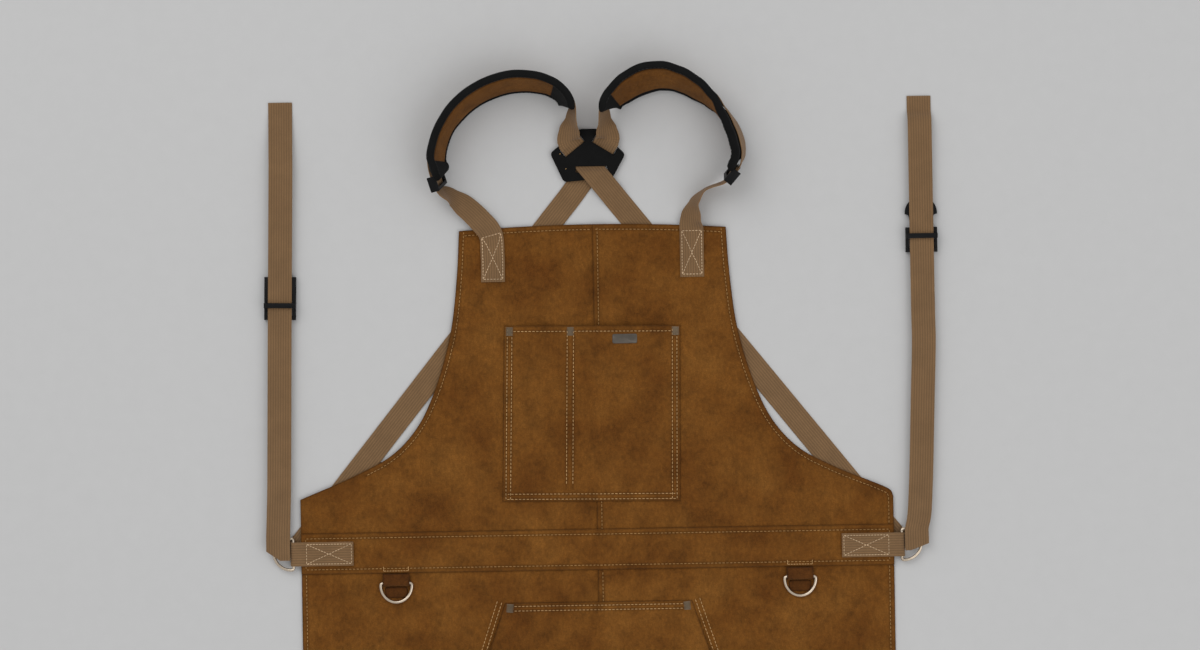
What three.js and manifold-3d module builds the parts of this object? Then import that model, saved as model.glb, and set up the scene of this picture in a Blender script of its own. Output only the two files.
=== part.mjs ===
// Cross-back leather work apron, laid flat with its front up.
// Millimetres, +Z up, +Y towards the top of the bib, +X to the right of someone facing the apron.

import * as THREE from 'three';
import { mergeVertices } from 'three/addons/utils/BufferGeometryUtils.js';
import Module from 'manifold-3d';

const wasm = await Module();
wasm.setup();

// ---- driving dimensions -------------------------------------------------------------------

const GAP = 0.3;                 // between pieces that touch
const LEATHER = 1.7;             // panels, waistband and yoke
const THIN_LEATHER = 1.5;        // pocket fronts

const HALF_WIDTH = 311;          // half of the apron's width
const BIB_TOP = 341;             // above the middle of the waistband
const BIB_HALF_TOP = 140;        // half of the bib's width at its top corners
const WING_TOP = 57;             // height of the wing's outer corner
const HEM = -573;                // below the middle of the waistband
const HEM_CORNER = 22;           // radius of the hem's corners
const BAND_HALF = 21.5;          // half of the waistband's width
const BIB_FOOT = -14;            // lower edge of the bib, behind the waistband
const SKIRT_HEAD = -6;           // upper edge of the skirt, behind the bib

const POCKET_ROOM = 4.8;         // free depth inside the pockets
const POCKET_WALL = 5;           // sewn margin round the pockets
const CHEST = { left: -95, right: 89, foot: 50.5, top: 234.5, divider: -26 };
const LAP = { top: -55, halfTop: 98, slant: 150, halfFoot: 148, foot: -285 };
const LABEL = { x: 32, y: 220.5, width: 26, height: 10, thick: 0.8 };

const PAD_WIDTH = 50;
const PAD_FOAM = 5.2;
const PAD_SKIN = 1.0;
const PAD_LIP = 5.5;             // how far the binding covers the pad's long edges

const WIRE = 1.6;                // radius of the rings' wire
const WEB_WIDTH = 25;
const WEB_THICK = 1.4;
const RING_HALF = WEB_WIDTH / 2 + 3.9;  // half of a ring's straight bar, to the wire's middle
const RING_DEPTH = 20;           // from the bar to the top of the bow
const RING_CORNER = 2;
const WAIST_BAR = HALF_WIDTH + 8;  // the waist rings' bars, out from the middle
const TOOL_BAR = -32;            // the tool rings' bars, below the middle of the waistband
const TOOL_X = 211.8;
const TAB = { inner: HALF_WIDTH - 55, flat: HALF_WIDTH - 7, width: WEB_WIDTH, thick: 1.3 };
const LOOP = { top: -14.6, width: WEB_WIDTH + 3, thick: 1.3 };  // leather folded round a tool ring's bar

const YOKE = {
  x: -2, crossing: 399, halfSide: 40, halfTop: 10, halfFoot: 26, up: 42, side: 15, down: -13,
};
const SLIT = { width: WEB_WIDTH + 1.6, open: 10, distance: 31 };
// Its turn is in degrees. The left slit is square to its route instead.
const RIGHT_SLIT = { x: 14.5, y: 424, turn: -32 };

const BUCKLE = {
  half: WEB_WIDTH / 2 + 4, slot: WEB_WIDTH / 2 + 1.2, floor: GAP, deck: 6.9, wall: 1.1, bar: 2.4, rail: 12,
};

// ---- levels, from the floor up --------------------------------------------------------------

const SKIRT_Z = 0;
const BIB_Z = SKIRT_Z + LEATHER + GAP;
const BAND_Z = BIB_Z + LEATHER + GAP;
const BAND_TOP = BAND_Z + LEATHER;
const CHEST_Z = BIB_Z + LEATHER + GAP;
const LAP_Z = SKIRT_Z + LEATHER + GAP;
const WAIST_RING_Z = 5.5;
const TOOL_RING_Z = LAP_Z + WIRE + GAP + LOOP.thick;
const YOKE_Z = 2 * (WEB_THICK + GAP) + 0.2;

// ---- materials ------------------------------------------------------------------------------

const finish = (color, roughness, metalness = 0) => (
  new THREE.MeshStandardMaterial({ color, roughness, metalness })
);
const suede = finish(0x6b431a, 0.95);
const webbing = finish(0x8f7352, 0.85);
const blackLeather = finish(0x1a1a1a, 0.6);
const foam = finish(0x4a4640, 0.95);
const steel = finish(0xa39b90, 0.35, 1);
const plastic = finish(0x161616, 0.5);

const apron = new THREE.Group();

// ---- solids ---------------------------------------------------------------------------------

// Merges shared vertices and turns the faces outward.
function closed(geometry) {
  const bare = geometry.clone();
  bare.deleteAttribute('normal');
  bare.deleteAttribute('uv');
  const merged = mergeVertices(bare, 1e-4);
  const p = merged.getAttribute('position');
  const index = merged.getIndex().array;
  const a = new THREE.Vector3();
  const b = new THREE.Vector3();
  const c = new THREE.Vector3();
  let volume = 0;
  for (let i = 0; i < index.length; i += 3) {
    a.fromBufferAttribute(p, index[i]);
    b.fromBufferAttribute(p, index[i + 1]);
    c.fromBufferAttribute(p, index[i + 2]);
    volume += a.dot(b.cross(c));
  }
  if (volume < 0) {
    for (let i = 0; i < index.length; i += 3) {
      [index[i], index[i + 1]] = [index[i + 1], index[i]];
    }
  }
  return merged;
}

function toManifold(geometry) {
  const merged = closed(geometry);
  return new wasm.Manifold(new wasm.Mesh({
    numProp: 3,
    vertProperties: new Float32Array(merged.getAttribute('position').array),
    triVerts: new Uint32Array(merged.getIndex().array),
  }));
}

function fromManifold(solid) {
  const mesh = solid.getMesh();
  const geometry = new THREE.BufferGeometry();
  geometry.setAttribute('position', new THREE.BufferAttribute(mesh.vertProperties, 3));
  geometry.setIndex(new THREE.BufferAttribute(mesh.triVerts, 1));
  return geometry;
}

// The first geometry joined with `added` and cut by `removed`.
function shaped(base, added = [], removed = []) {
  let solid = toManifold(base);
  for (const piece of added) solid = solid.add(toManifold(piece));
  for (const piece of removed) solid = solid.subtract(toManifold(piece));
  return fromManifold(solid);
}

function box(x0, x1, y0, y1, z0, z1) {
  const solid = new THREE.BoxGeometry(x1 - x0, y1 - y0, z1 - z0);
  return solid.translate((x0 + x1) / 2, (y0 + y1) / 2, (z0 + z1) / 2);
}

function plate(shape, z, thick, curveSegments = 12) {
  const solid = new THREE.ExtrudeGeometry(shape, { depth: thick, bevelEnabled: false, curveSegments });
  return solid.translate(0, 0, z);
}

function place(name, geometry, material, parent = apron) {
  const mesh = new THREE.Mesh(closed(geometry), material);
  mesh.name = name;
  parent.add(mesh);
  return mesh;
}

const SIDES = [['left', -1], ['right', 1]];
const v2 = (x, y) => new THREE.Vector2(x, y);

// ---- leather panels -------------------------------------------------------------------------

// Right half of the bib; the left half is its mirror image.
function bibShape(side) {
  const seam = side * GAP / 2;
  const shape = new THREE.Shape();
  shape.moveTo(seam, BIB_FOOT);
  shape.lineTo(seam, BIB_TOP);
  shape.quadraticCurveTo(side * BIB_HALF_TOP / 2, BIB_TOP, side * BIB_HALF_TOP, BIB_TOP - 5);
  const armhole = [
    [3, 0.83], [11, 0.61], [30, 0.385], [48, 0.26], [73, 0.165], [110, 0.092],
  ];
  const rise = BIB_TOP - 5 - WING_TOP;
  shape.splineThru([
    ...armhole.map(([out, up]) => v2(side * (BIB_HALF_TOP + out), WING_TOP + rise * up)),
    v2(side * HALF_WIDTH, WING_TOP),
  ]);
  shape.lineTo(side * HALF_WIDTH, BIB_FOOT);
  shape.closePath();
  return shape;
}

// Half of the skirt. Its upper corner is clipped where the harness webbing leaves for the ring.
function skirtShape(side) {
  const clip = { across: 28, down: 16 };
  const seam = side * GAP / 2;
  const edge = side * HALF_WIDTH;
  const shape = new THREE.Shape();
  shape.moveTo(seam, SKIRT_HEAD);
  shape.lineTo(edge - side * clip.across, SKIRT_HEAD);
  shape.lineTo(edge, SKIRT_HEAD - clip.down);
  shape.lineTo(edge, HEM + HEM_CORNER);
  const turn = side > 0 ? 0 : Math.PI;
  shape.absarc(edge - side * HEM_CORNER, HEM + HEM_CORNER, HEM_CORNER, turn, -Math.PI / 2, side > 0);
  shape.lineTo(seam, HEM);
  shape.closePath();
  return shape;
}

for (const [name, side] of SIDES) {
  place(`bib_${name}`, plate(bibShape(side), BIB_Z, LEATHER, 5), suede);
  place(`skirt_${name}`, plate(skirtShape(side), SKIRT_Z, LEATHER), suede);
}
place('waistband', box(-HALF_WIDTH, HALF_WIDTH, -BAND_HALF, BAND_HALF, BAND_Z, BAND_TOP), suede);

// ---- pockets --------------------------------------------------------------------------------

// A sewn-down tray, open at the top, with a divider between a narrow and a wide compartment.
function chestPocket() {
  const z0 = CHEST_Z;
  const z1 = CHEST_Z + POCKET_ROOM;
  const z2 = z1 + THIN_LEATHER;
  const outside = box(CHEST.left, CHEST.right, CHEST.foot, CHEST.top, z0, z2);
  const floor = CHEST.foot + POCKET_WALL;
  const half = POCKET_WALL / 2;
  return shaped(outside, [], [
    box(CHEST.left + POCKET_WALL, CHEST.divider - half, floor, CHEST.top + 1, z0 - 1, z1),
    box(CHEST.divider + half, CHEST.right - POCKET_WALL, floor, CHEST.top + 1, z0 - 1, z1),
  ]);
}

// A hand pocket sewn down along its top, foot and lower sides, open along both slanted sides.
function lapOutline(inset) {
  const knee = LAP.top - LAP.slant;
  const shape = new THREE.Shape();
  shape.moveTo(-LAP.halfTop, LAP.top - inset);
  shape.lineTo(LAP.halfTop, LAP.top - inset);
  const out = inset > 0 ? 60 : 0;
  shape.lineTo(LAP.halfFoot + out, knee);
  shape.lineTo(LAP.halfFoot - inset, knee);
  shape.lineTo(LAP.halfFoot - inset, LAP.foot + inset);
  shape.lineTo(-LAP.halfFoot + inset, LAP.foot + inset);
  shape.lineTo(-LAP.halfFoot + inset, knee);
  shape.lineTo(-LAP.halfFoot - out, knee);
  shape.closePath();
  return shape;
}

function lapPocket() {
  const outside = plate(lapOutline(0), LAP_Z, POCKET_ROOM + THIN_LEATHER);
  const inside = plate(lapOutline(POCKET_WALL), LAP_Z - 1, POCKET_ROOM + 1);
  return shaped(outside, [], [inside]);
}

place('chest_pocket', chestPocket(), suede);
place('lap_pocket', lapPocket(), suede);

const chestTop = CHEST_Z + POCKET_ROOM + THIN_LEATHER;
place('pocket_label', box(
  LABEL.x - LABEL.width / 2, LABEL.x + LABEL.width / 2,
  LABEL.y - LABEL.height / 2, LABEL.y + LABEL.height / 2,
  chestTop + GAP, chestTop + GAP + LABEL.thick,
), steel);

// ---- rings ----------------------------------------------------------------------------------

// A D-shaped wire ring in the XY plane: its bar lies on the X axis and its bow reaches down -Y.
function dRing() {
  const w = RING_HALF;
  const c = RING_CORNER;
  const path = new THREE.Path();
  path.moveTo(-(w - c), 0);
  path.lineTo(w - c, 0);
  path.absarc(w - c, -c, c, Math.PI / 2, 0, true);
  path.absellipse(0, -c, w, RING_DEPTH - c, 0, -Math.PI, true, 0);
  path.absarc(-(w - c), -c, c, Math.PI, Math.PI / 2, true);
  const around = 32;
  const section = 8;
  const points = path.getSpacedPoints(around).slice(0, around);
  const torus = new THREE.TorusGeometry(RING_HALF, WIRE, section, around);
  const p = torus.getAttribute('position');
  const start = new THREE.Vector3();
  for (let i = 0; i < p.count; i += 1) {
    start.fromBufferAttribute(p, i);
    const turn = Math.round(Math.atan2(start.y, start.x) / (2 * Math.PI) * around + around) % around;
    const before = points[(turn + around - 1) % around];
    const after = points[(turn + 1) % around];
    const along = after.clone().sub(before).normalize();
    const across = Math.hypot(start.x, start.y) - RING_HALF;
    p.setXYZ(i, points[turn].x + across * along.y, points[turn].y - across * along.x, start.z);
  }
  return torus;
}

// ---- routes of webbing ------------------------------------------------------------------------

// A unit box in `columns` along X and `steps` along Z, whose top and bottom quads are split along the
// same diagonals, so that strips laid on each other stay parallel where they twist.
function evenBox(columns, steps) {
  const geometry = new THREE.BoxGeometry(1, 1, 1, columns, 1, steps);
  const index = geometry.getIndex().array;
  const { start, count } = geometry.groups[3];
  for (let i = start; i < start + count; i += 6) {
    const [a, b, d, , c] = index.slice(i, i + 6);
    index.set([a, b, c, a, c, d], i);
  }
  return geometry;
}

// A route is a smooth curve with a roll at each point. `hand` is 1 where the edge that rises with the
// roll lies to the left of the way the route runs, and -1 where it lies to the right.
class Route {
  constructor(points, hand) {
    this.hand = hand;
    const places = points.map(([x, y, z]) => new THREE.Vector3(x, y, z));
    const styles = points.map(([, , , roll = 0, half = WEB_WIDTH / 2]) => new THREE.Vector3(roll, half, 0));
    this.curve = new THREE.CatmullRomCurve3(places, false, 'centripetal');
    this.rolls = new THREE.CatmullRomCurve3(styles, false, 'catmullrom', 0);
    this.spans = points.length - 1;
  }

  // Where control point number i lies along the route, from 0 to 1.
  at(i) {
    return i / this.spans;
  }

  frame(t) {
    const origin = this.curve.getPoint(t);
    const along = this.curve.getTangent(t);
    const style = this.rolls.getPoint(t);
    const roll = THREE.MathUtils.degToRad(style.x);
    const side = new THREE.Vector3(-along.y, along.x, 0).normalize().multiplyScalar(this.hand);
    const up = new THREE.Vector3().crossVectors(along, side).multiplyScalar(this.hand);
    const across = side.clone().multiplyScalar(Math.cos(roll)).addScaledVector(up, Math.sin(roll));
    const normal = up.clone().multiplyScalar(Math.cos(roll)).addScaledVector(side, -Math.sin(roll));
    return { origin, along, across, normal, half: style.y };
  }

  // A strip from t0 to t1 that covers n0 to n1 along the normal and w0 to w1 across. Without w0 and
  // w1 it is as wide as the route says. `trim` pulls in both ends and leaves every other station.
  strip({ t0 = 0, t1 = 1, n0, n1, w0, w1, steps = 24, columns = 1, trim = 0 }) {
    const geometry = evenBox(columns, steps);
    const p = geometry.getAttribute('position');
    for (let i = 0; i < p.count; i += 1) {
      const station = t0 + (t1 - t0) * (p.getZ(i) + 0.5);
      const f = this.frame(THREE.MathUtils.clamp(station, t0 + trim, t1 - trim));
      const low = w0 ?? -f.half;
      const high = w1 ?? f.half;
      const w = low + (high - low) * (p.getX(i) + 0.5);
      const n = n0 + (n1 - n0) * (p.getY(i) + 0.5);
      const spot = f.origin.addScaledVector(f.across, w).addScaledVector(f.normal, n);
      p.setXYZ(i, spot.x, spot.y, spot.z);
    }
    return geometry;
  }
}

// Depths either side of a harness route: the harness webbing lies below it, the bib webbing above.
const LAP_GAP = 0.2;
const UNDER = [-LAP_GAP - WEB_THICK, -LAP_GAP];
const OVER = [LAP_GAP, LAP_GAP + WEB_THICK];

// Height of a route that carries a pad, or bare webbing, standing on one long edge.
const PAD_START = 0.5;
const padLift = (roll) => {
  const angle = THREE.MathUtils.degToRad(roll);
  return (PAD_WIDTH / 2) * Math.sin(angle) - PAD_START * Math.cos(angle) + 0.2;
};
const webLift = (roll) => {
  const angle = THREE.MathUtils.degToRad(roll);
  return (WEB_WIDTH / 2) * Math.sin(angle) + (WEB_THICK + GAP) * Math.cos(angle) + 0.2;
};
const SLIDER = { bar: 2.2, play: 0.9, in: WEB_WIDTH / 2 + 0.8, out: WEB_WIDTH / 2 + 3.2, reach: 8 };
const sliderLift = (roll) => {
  const angle = THREE.MathUtils.degToRad(roll);
  const under = LAP_GAP + WEB_THICK + SLIDER.play + SLIDER.bar;
  return SLIDER.out * Math.sin(angle) + under * Math.cos(angle) + 0.6;
};

const FLOOR_Z = WEB_THICK + LAP_GAP + 0.2;         // a harness route whose webbing lies on the floor
const CROSS_Z = FLOOR_Z + WEB_THICK + GAP;        // one whose webbing lies on the other harness
const OVER_YOKE = YOKE_Z + LEATHER + GAP + WEB_THICK + LAP_GAP + 0.2;
const BIB_WEB_Z = BIB_Z + LEATHER + GAP - LAP_GAP;

const CROSS_END = { x: WAIST_BAR + 3, y: -4.5 };  // where the cross webbing ends inside a waist ring
const crossRun = new THREE.Vector2(CROSS_END.x, CROSS_END.y - YOKE.crossing).normalize();
const crossPoint = (side, distance, z) => (
  [side * crossRun.x * distance, YOKE.crossing + crossRun.y * distance, z, 0]
);
const rightSlitPoint = (distance, z) => {
  const turn = THREE.MathUtils.degToRad(RIGHT_SLIT.turn);
  return [RIGHT_SLIT.x + distance * Math.sin(turn), RIGHT_SLIT.y - distance * Math.cos(turn), z, 0];
};
const crossLength = Math.hypot(CROSS_END.x, CROSS_END.y - YOKE.crossing);

// From the bib over the pad to the yoke. The left harness crosses to the right ring on top; the right
// one crosses to the left ring beneath it.
const leftHarness = new Route([
  [-105, 282, BIB_WEB_Z, 0],
  [-105, 310, BIB_WEB_Z + 0.3, 0],
  [-107, 333, BIB_WEB_Z + 1.2, 0],
  [-117, 346, webLift(8) + 3.5, 8],
  [-132, 360.5, webLift(18) + 1, 18],
  [-147, 371, webLift(46), 46],
  [-158, 378, sliderLift(72) + 2.6, 72],
  [-161, 388, sliderLift(72) + 5, 72],
  [-164, 398, sliderLift(72) + 7.4, 72],
  [-166, 411, padLift(75) + 0.3, 75],
  [-164, 425, padLift(76), 76],
  [-156, 446, padLift(76), 76],
  [-141.5, 465, padLift(73), 73],
  [-124.5, 479, padLift(72), 72],
  [-104, 489, padLift(71), 71],
  [-82, 494.5, padLift(71), 71],
  [-58, 494, padLift(73), 73],
  [-39, 488.5, padLift(76), 76],
  [-25, 478, padLift(79), 79],
  [-19, 464, padLift(79) - 6, 78],
  [-20.5, 450, 17, 60],
  [-22.5, 438.5, 13, 30],
  crossPoint(1, -SLIT.distance - 5, OVER_YOKE),
  crossPoint(1, -SLIT.distance - 1.8, OVER_YOKE - 1),
  crossPoint(1, -SLIT.distance + 1.2, CROSS_Z + 0.6),
  crossPoint(1, -SLIT.distance + 4.5, CROSS_Z),
  crossPoint(1, -4, CROSS_Z),
  crossPoint(1, -1, CROSS_Z + 0.6),
  crossPoint(1, 2, OVER_YOKE - 1),
  crossPoint(1, 4.5, OVER_YOKE),
  crossPoint(1, 26, OVER_YOKE),
  crossPoint(1, 37, OVER_YOKE - 3),
  crossPoint(1, 47, FLOOR_Z + 0.4),
  crossPoint(1, 58, FLOOR_Z),
  crossPoint(1, 80, FLOOR_Z),
  crossPoint(1, crossLength * 0.5, FLOOR_Z),
  crossPoint(1, crossLength, FLOOR_Z),
], 1);

const rightHarness = new Route([
  [104, 284, BIB_WEB_Z, 0],
  [104, 312, BIB_WEB_Z + 0.3, 0],
  [104, 332, BIB_WEB_Z + 1.6, 0],
  [104, 347, webLift(34) + 3, 34],
  [108, 362, webLift(68), 68],
  [119, 374, webLift(84), 84],
  [140, 382.5, sliderLift(82) + 3.2, 82],
  [147, 390.5, sliderLift(82) + 5.6, 82],
  [154, 398.5, sliderLift(82) + 8, 82],
  [158, 410, padLift(85) + 0.2, 85],
  [157, 424, padLift(86), 86],
  [152, 439, padLift(86), 86],
  [142.5, 455.5, padLift(83), 83],
  [129.5, 471, padLift(78), 78],
  [112, 484.5, padLift(72), 72],
  [94, 494, padLift(67), 67],
  [75, 498, padLift(61), 61],
  [55, 495, padLift(57), 57],
  [36, 486, padLift(60), 60],
  [22, 475, padLift(68), 68],
  [15.5, 463, padLift(70) - 4, 69],
  [15.5, 450, 17, 58],
  [17, 438.5, 13, 28],
  rightSlitPoint(-6, OVER_YOKE),
  rightSlitPoint(-3, OVER_YOKE - 0.7),
  rightSlitPoint(2.2, FLOOR_Z + 1.2),
  rightSlitPoint(6, FLOOR_Z + 0.2),
  rightSlitPoint(12, FLOOR_Z),
  crossPoint(-1, 30, FLOOR_Z),
  crossPoint(-1, 70, FLOOR_Z),
  crossPoint(-1, crossLength * 0.5, FLOOR_Z),
  crossPoint(-1, crossLength, FLOOR_Z),
], -1);

// ---- shoulder pads ----------------------------------------------------------------------------

// The pad's layers lie on the inner side of the route, from the webbing inwards: binding, back, foam,
// face and binding again.
const PAD = { slack: 0.4, endSlack: 0.3, steps: 26, lipSteps: 3 };
PAD.back = PAD_START + PAD_SKIN + PAD.slack;
PAD.foam = PAD.back + PAD_SKIN + PAD.slack;
PAD.face = PAD.foam + PAD_FOAM + PAD.slack;
PAD.end = PAD.face + PAD_SKIN + PAD.slack + PAD_SKIN;

function padPieces(name, route, first, last) {
  const t0 = route.at(first);
  const t1 = route.at(last);
  const step = (t1 - t0) / PAD.steps;
  const half = PAD_WIDTH / 2;
  // a strip that leaves out `ends` steps at each end, on the same stations as every other layer
  const layer = (ends, n0, n1, reach, trim = 0) => route.strip({
    t0: t0 + ends * step, t1: t1 - ends * step, n0, n1, w0: -reach, w1: reach,
    steps: PAD.steps - 2 * ends, columns: 2, trim,
  });
  const trim = PAD.endSlack * step;
  const reach = half - PAD_SKIN - PAD.slack;
  place(`pad_back_${name}`, layer(1, PAD.back, PAD.back + PAD_SKIN, reach, trim), blackLeather);
  place(`pad_foam_${name}`, layer(1, PAD.foam, PAD.foam + PAD_FOAM, reach, trim), foam);
  place(`pad_face_${name}`, layer(1, PAD.face, PAD.face + PAD_SKIN, reach, trim), suede);

  const outer = layer(0, PAD_START, PAD.end, half);
  const groove = layer(1, PAD_START + PAD_SKIN, PAD.end - PAD_SKIN, half - PAD_SKIN);
  const window = layer(PAD.lipSteps, PAD_START - 1, PAD.end + 1, half - PAD_LIP);
  place(`pad_binding_${name}`, shaped(outer, [], [groove, window]), blackLeather);
}

// ---- harness ----------------------------------------------------------------------------------

// A three-bar slider: two bars above the webbing, one below, in a frame centred on the route.
function slider(route, t) {
  const { bar, reach } = SLIDER;
  const top = OVER[1] + SLIDER.play;
  const low = UNDER[0] - SLIDER.play;
  const body = shaped(box(SLIDER.in, SLIDER.out, -reach, reach, low - bar, top + bar), [
    box(-SLIDER.out, -SLIDER.in, -reach, reach, low - bar, top + bar),
    box(-SLIDER.out, SLIDER.out, -reach, -reach + 4, top, top + bar),
    box(-SLIDER.out, SLIDER.out, reach - 4, reach, top, top + bar),
    box(-SLIDER.out, SLIDER.out, -2, 2, low - bar, low),
  ]);
  const f = route.frame(t);
  const along = new THREE.Vector3().crossVectors(f.normal, f.across);
  return body.applyMatrix4(new THREE.Matrix4().makeBasis(f.across, along, f.normal).setPosition(f.origin));
}

const HARNESSES = [
  { name: 'left', route: leftHarness, pad: [8.55, 18.1], slider: 7.05 },
  { name: 'right', route: rightHarness, pad: [8.55, 19.2], slider: 7 },
];

for (const { name, route, pad, slider: position } of HARNESSES) {
  const slot = route.at(position);
  place(`bib_strap_${name}`, route.strip({
    t0: 0, t1: slot + route.at(1), n0: OVER[0], n1: OVER[1], steps: 40,
  }), webbing);
  place(`harness_strap_${name}`, route.strip({
    t0: slot - route.at(0.7), t1: 1, n0: UNDER[0], n1: UNDER[1], steps: 100,
  }), webbing);
  place(`slider_${name}`, slider(route, slot), plastic);
  padPieces(name, route, ...pad);
}

// ---- yoke -------------------------------------------------------------------------------------

function slit([x, y], turn) {
  const w = SLIT.width / 2;
  const h = SLIT.open / 2;
  const corner = ([u, v]) => v2(u, v).rotateAround(v2(0, 0), turn).add(v2(x, y));
  return new THREE.Path([[-w, -h], [w, -h], [w, h], [-w, h]].map(corner));
}

function yokeShape() {
  const y = YOKE.crossing;
  const outline = [
    [-YOKE.halfFoot, YOKE.down], [YOKE.halfFoot, YOKE.down], [YOKE.halfSide, YOKE.side],
    [YOKE.halfTop, YOKE.up], [-YOKE.halfTop, YOKE.up], [-YOKE.halfSide, YOKE.side],
  ];
  const shape = new THREE.Shape(outline.map(([dx, dy]) => v2(YOKE.x + dx, y + dy)));
  const crossTurn = Math.atan2(crossRun.x, -crossRun.y);
  shape.holes.push(
    slit(crossPoint(1, -SLIT.distance), crossTurn),
    slit([RIGHT_SLIT.x, RIGHT_SLIT.y], THREE.MathUtils.degToRad(RIGHT_SLIT.turn)),
    slit(crossPoint(1, 0.5), crossTurn),
  );
  return shape;
}

place('yoke', plate(yokeShape(), YOKE_Z, LEATHER), blackLeather);

// ---- waist: tabs, rings, straps and buckle ----------------------------------------------------

// Webbing folded round the ring's bar, both ends sewn down on the waistband.
function waistTab(side) {
  const low = BAND_TOP + GAP + TAB.thick / 2;
  const high = low + TAB.thick + GAP;
  const r = WIRE + GAP + TAB.thick / 2;
  const bar = WAIST_BAR;
  const z = WAIST_RING_Z;
  const middle = (TAB.inner + TAB.flat) / 2;
  const fold = [
    [TAB.inner, low], [middle, low], [TAB.flat, low], [bar - 7.3, low - 0.1], [bar - 4.6, z - 0.9],
    [bar - 2.4, z - 2.3],
    [bar, z - r], [bar + 0.75 * r, z - 0.66 * r], [bar + r, z], [bar + 0.7 * r, z + 0.72 * r],
    [bar - 0.6, z + r + 0.1], [bar - 6, high], [TAB.flat, high], [middle, high], [TAB.inner, high],
  ];
  const route = new Route(fold.map(([x, height]) => [side * x, 0, height]), 1);
  return new StripOver(route, TAB.width / 2, TAB.thick / 2, 56).geometry();
}

// A strip whose width lies along Y, for webbing folded in the XZ plane.
class StripOver {
  constructor(route, half, depth, steps) {
    Object.assign(this, { route, half, depth, steps });
  }

  geometry() {
    const geometry = new THREE.BoxGeometry(1, 1, 1, 1, 1, this.steps);
    const p = geometry.getAttribute('position');
    for (let i = 0; i < p.count; i += 1) {
      const t = p.getZ(i) + 0.5;
      const spot = this.route.curve.getPoint(t);
      const along = this.route.curve.getTangent(t);
      const n = 2 * this.depth * p.getY(i);
      p.setXYZ(i, spot.x - along.z * n, 2 * this.half * p.getX(i), spot.z + along.x * n);
    }
    return geometry;
  }
}

// Leather folded round a tool ring's bar and tucked under the waistband, drawn in the YZ plane.
function toolLoop(x) {
  const inner = WIRE + GAP;
  const outer = inner + LOOP.thick;
  const z = TOOL_RING_Z;
  const shape = new THREE.Shape();
  shape.moveTo(LOOP.top, LAP_Z);
  shape.lineTo(LOOP.top, LAP_Z + LEATHER);
  shape.lineTo(-BAND_HALF - GAP, LAP_Z + LEATHER);
  shape.lineTo(TOOL_BAR + 0.5 * outer, z + 0.86 * outer);
  shape.absarc(TOOL_BAR, z, outer, Math.PI / 3, 1.5 * Math.PI, false);
  shape.closePath();
  const hole = new THREE.Path();
  hole.absarc(TOOL_BAR, z, inner, 0, 2 * Math.PI, true);
  shape.holes.push(hole);
  const options = { depth: LOOP.width, bevelEnabled: false, curveSegments: 10 };
  const geometry = new THREE.ExtrudeGeometry(shape, options);
  // the drawing's x becomes Y, its y becomes Z and its depth becomes X
  const turn = new THREE.Matrix4().set(0, 0, 1, x - LOOP.width / 2, 1, 0, 0, 0, 0, 1, 0, 0, 0, 0, 0, 1);
  return geometry.applyMatrix4(turn);
}

for (const [name, side] of SIDES) {
  place(`waist_tab_${name}`, waistTab(side), webbing);
  const ring = place(`waist_ring_${name}`, dRing(), steel);
  ring.position.set(side * WAIST_BAR, 0, WAIST_RING_Z);
  ring.rotation.z = side * Math.PI / 2;
  place(`tool_loop_${name}`, toolLoop(side * TOOL_X), suede);
  const toolRing = place(`tool_ring_${name}`, dRing(), steel);
  toolRing.position.set(side * TOOL_X, TOOL_BAR, TOOL_RING_Z);
}

// The waist straps run from inside the rings, over the bow, up beside the bib. Their lower ends are
// gathered narrow to pass the ring. Distances are from the middle of the ring's opening.
const STRAP_Z = WAIST_RING_Z + WIRE + GAP * 2 + WEB_THICK / 2;
const STRAP_PIVOT = WAIST_BAR + RING_DEPTH / 2 + 0.5;
const GATHERED = 5.5;
const ringEnd = (half = GATHERED) => [
  [0, -3, STRAP_Z - 3.8, 0, half], [0, 0, STRAP_Z - 3.1, 0, half], [0, 4, STRAP_Z - 1.1, 0, half],
  [0, 7.5, STRAP_Z - 0.1, 0, half], [0, 13, STRAP_Z, 0, half],
];
const tail = (x, drop, end) => [
  [x, drop, STRAP_Z], [x, drop + 12, STRAP_Z - 1.2], [x, end - 16, 1.9], [x, end - 10, 1.1], [x, end, 1.0],
];

// A dead straight run from a to b, for a buckle to slide along.
const straightRun = ([x0, y0], [x1, y1]) => (
  [0, 0.1, 0.92].map((t) => [x0 + (x1 - x0) * t, y0 + (y1 - y0) * t, STRAP_Z])
);
const WAIST_STRAPS = {
  left: [
    ...ringEnd(), [-4, 27, STRAP_Z], [-3.5, 48, STRAP_Z], [-3.3, 60, STRAP_Z],
    ...straightRun([0.2, 230], [4, 405]), ...tail(4, 405, 474),
  ],
  right: [
    ...ringEnd(), [8, 27, STRAP_Z], [10, 60, STRAP_Z], [13.5, 150, STRAP_Z], [15.8, 215, STRAP_Z],
    [15.6, 236, STRAP_Z], ...straightRun([15.4, 300], [15.2, 434]), ...tail(15.2, 434, 470),
  ],
};

// Frame of the buckle's strap end: rails, a bar above the strap and one below it.
function buckleFrame(foot) {
  const { half, slot, floor, deck, bar, rail } = BUCKLE;
  const over = STRAP_Z + WEB_THICK / 2 + GAP;
  return [
    box(-half, -slot, foot, 6, floor, deck),
    box(slot, half, foot, 6, floor, deck),
    box(-half, half, foot, foot + 4, floor, deck),
    box(-half, -slot, -2.6, 2.6, floor, rail),
    box(slot, half, -2.6, 2.6, floor, rail),
    box(-half, half, -2.6, 2.6, over, over + bar),
  ];
}

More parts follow.
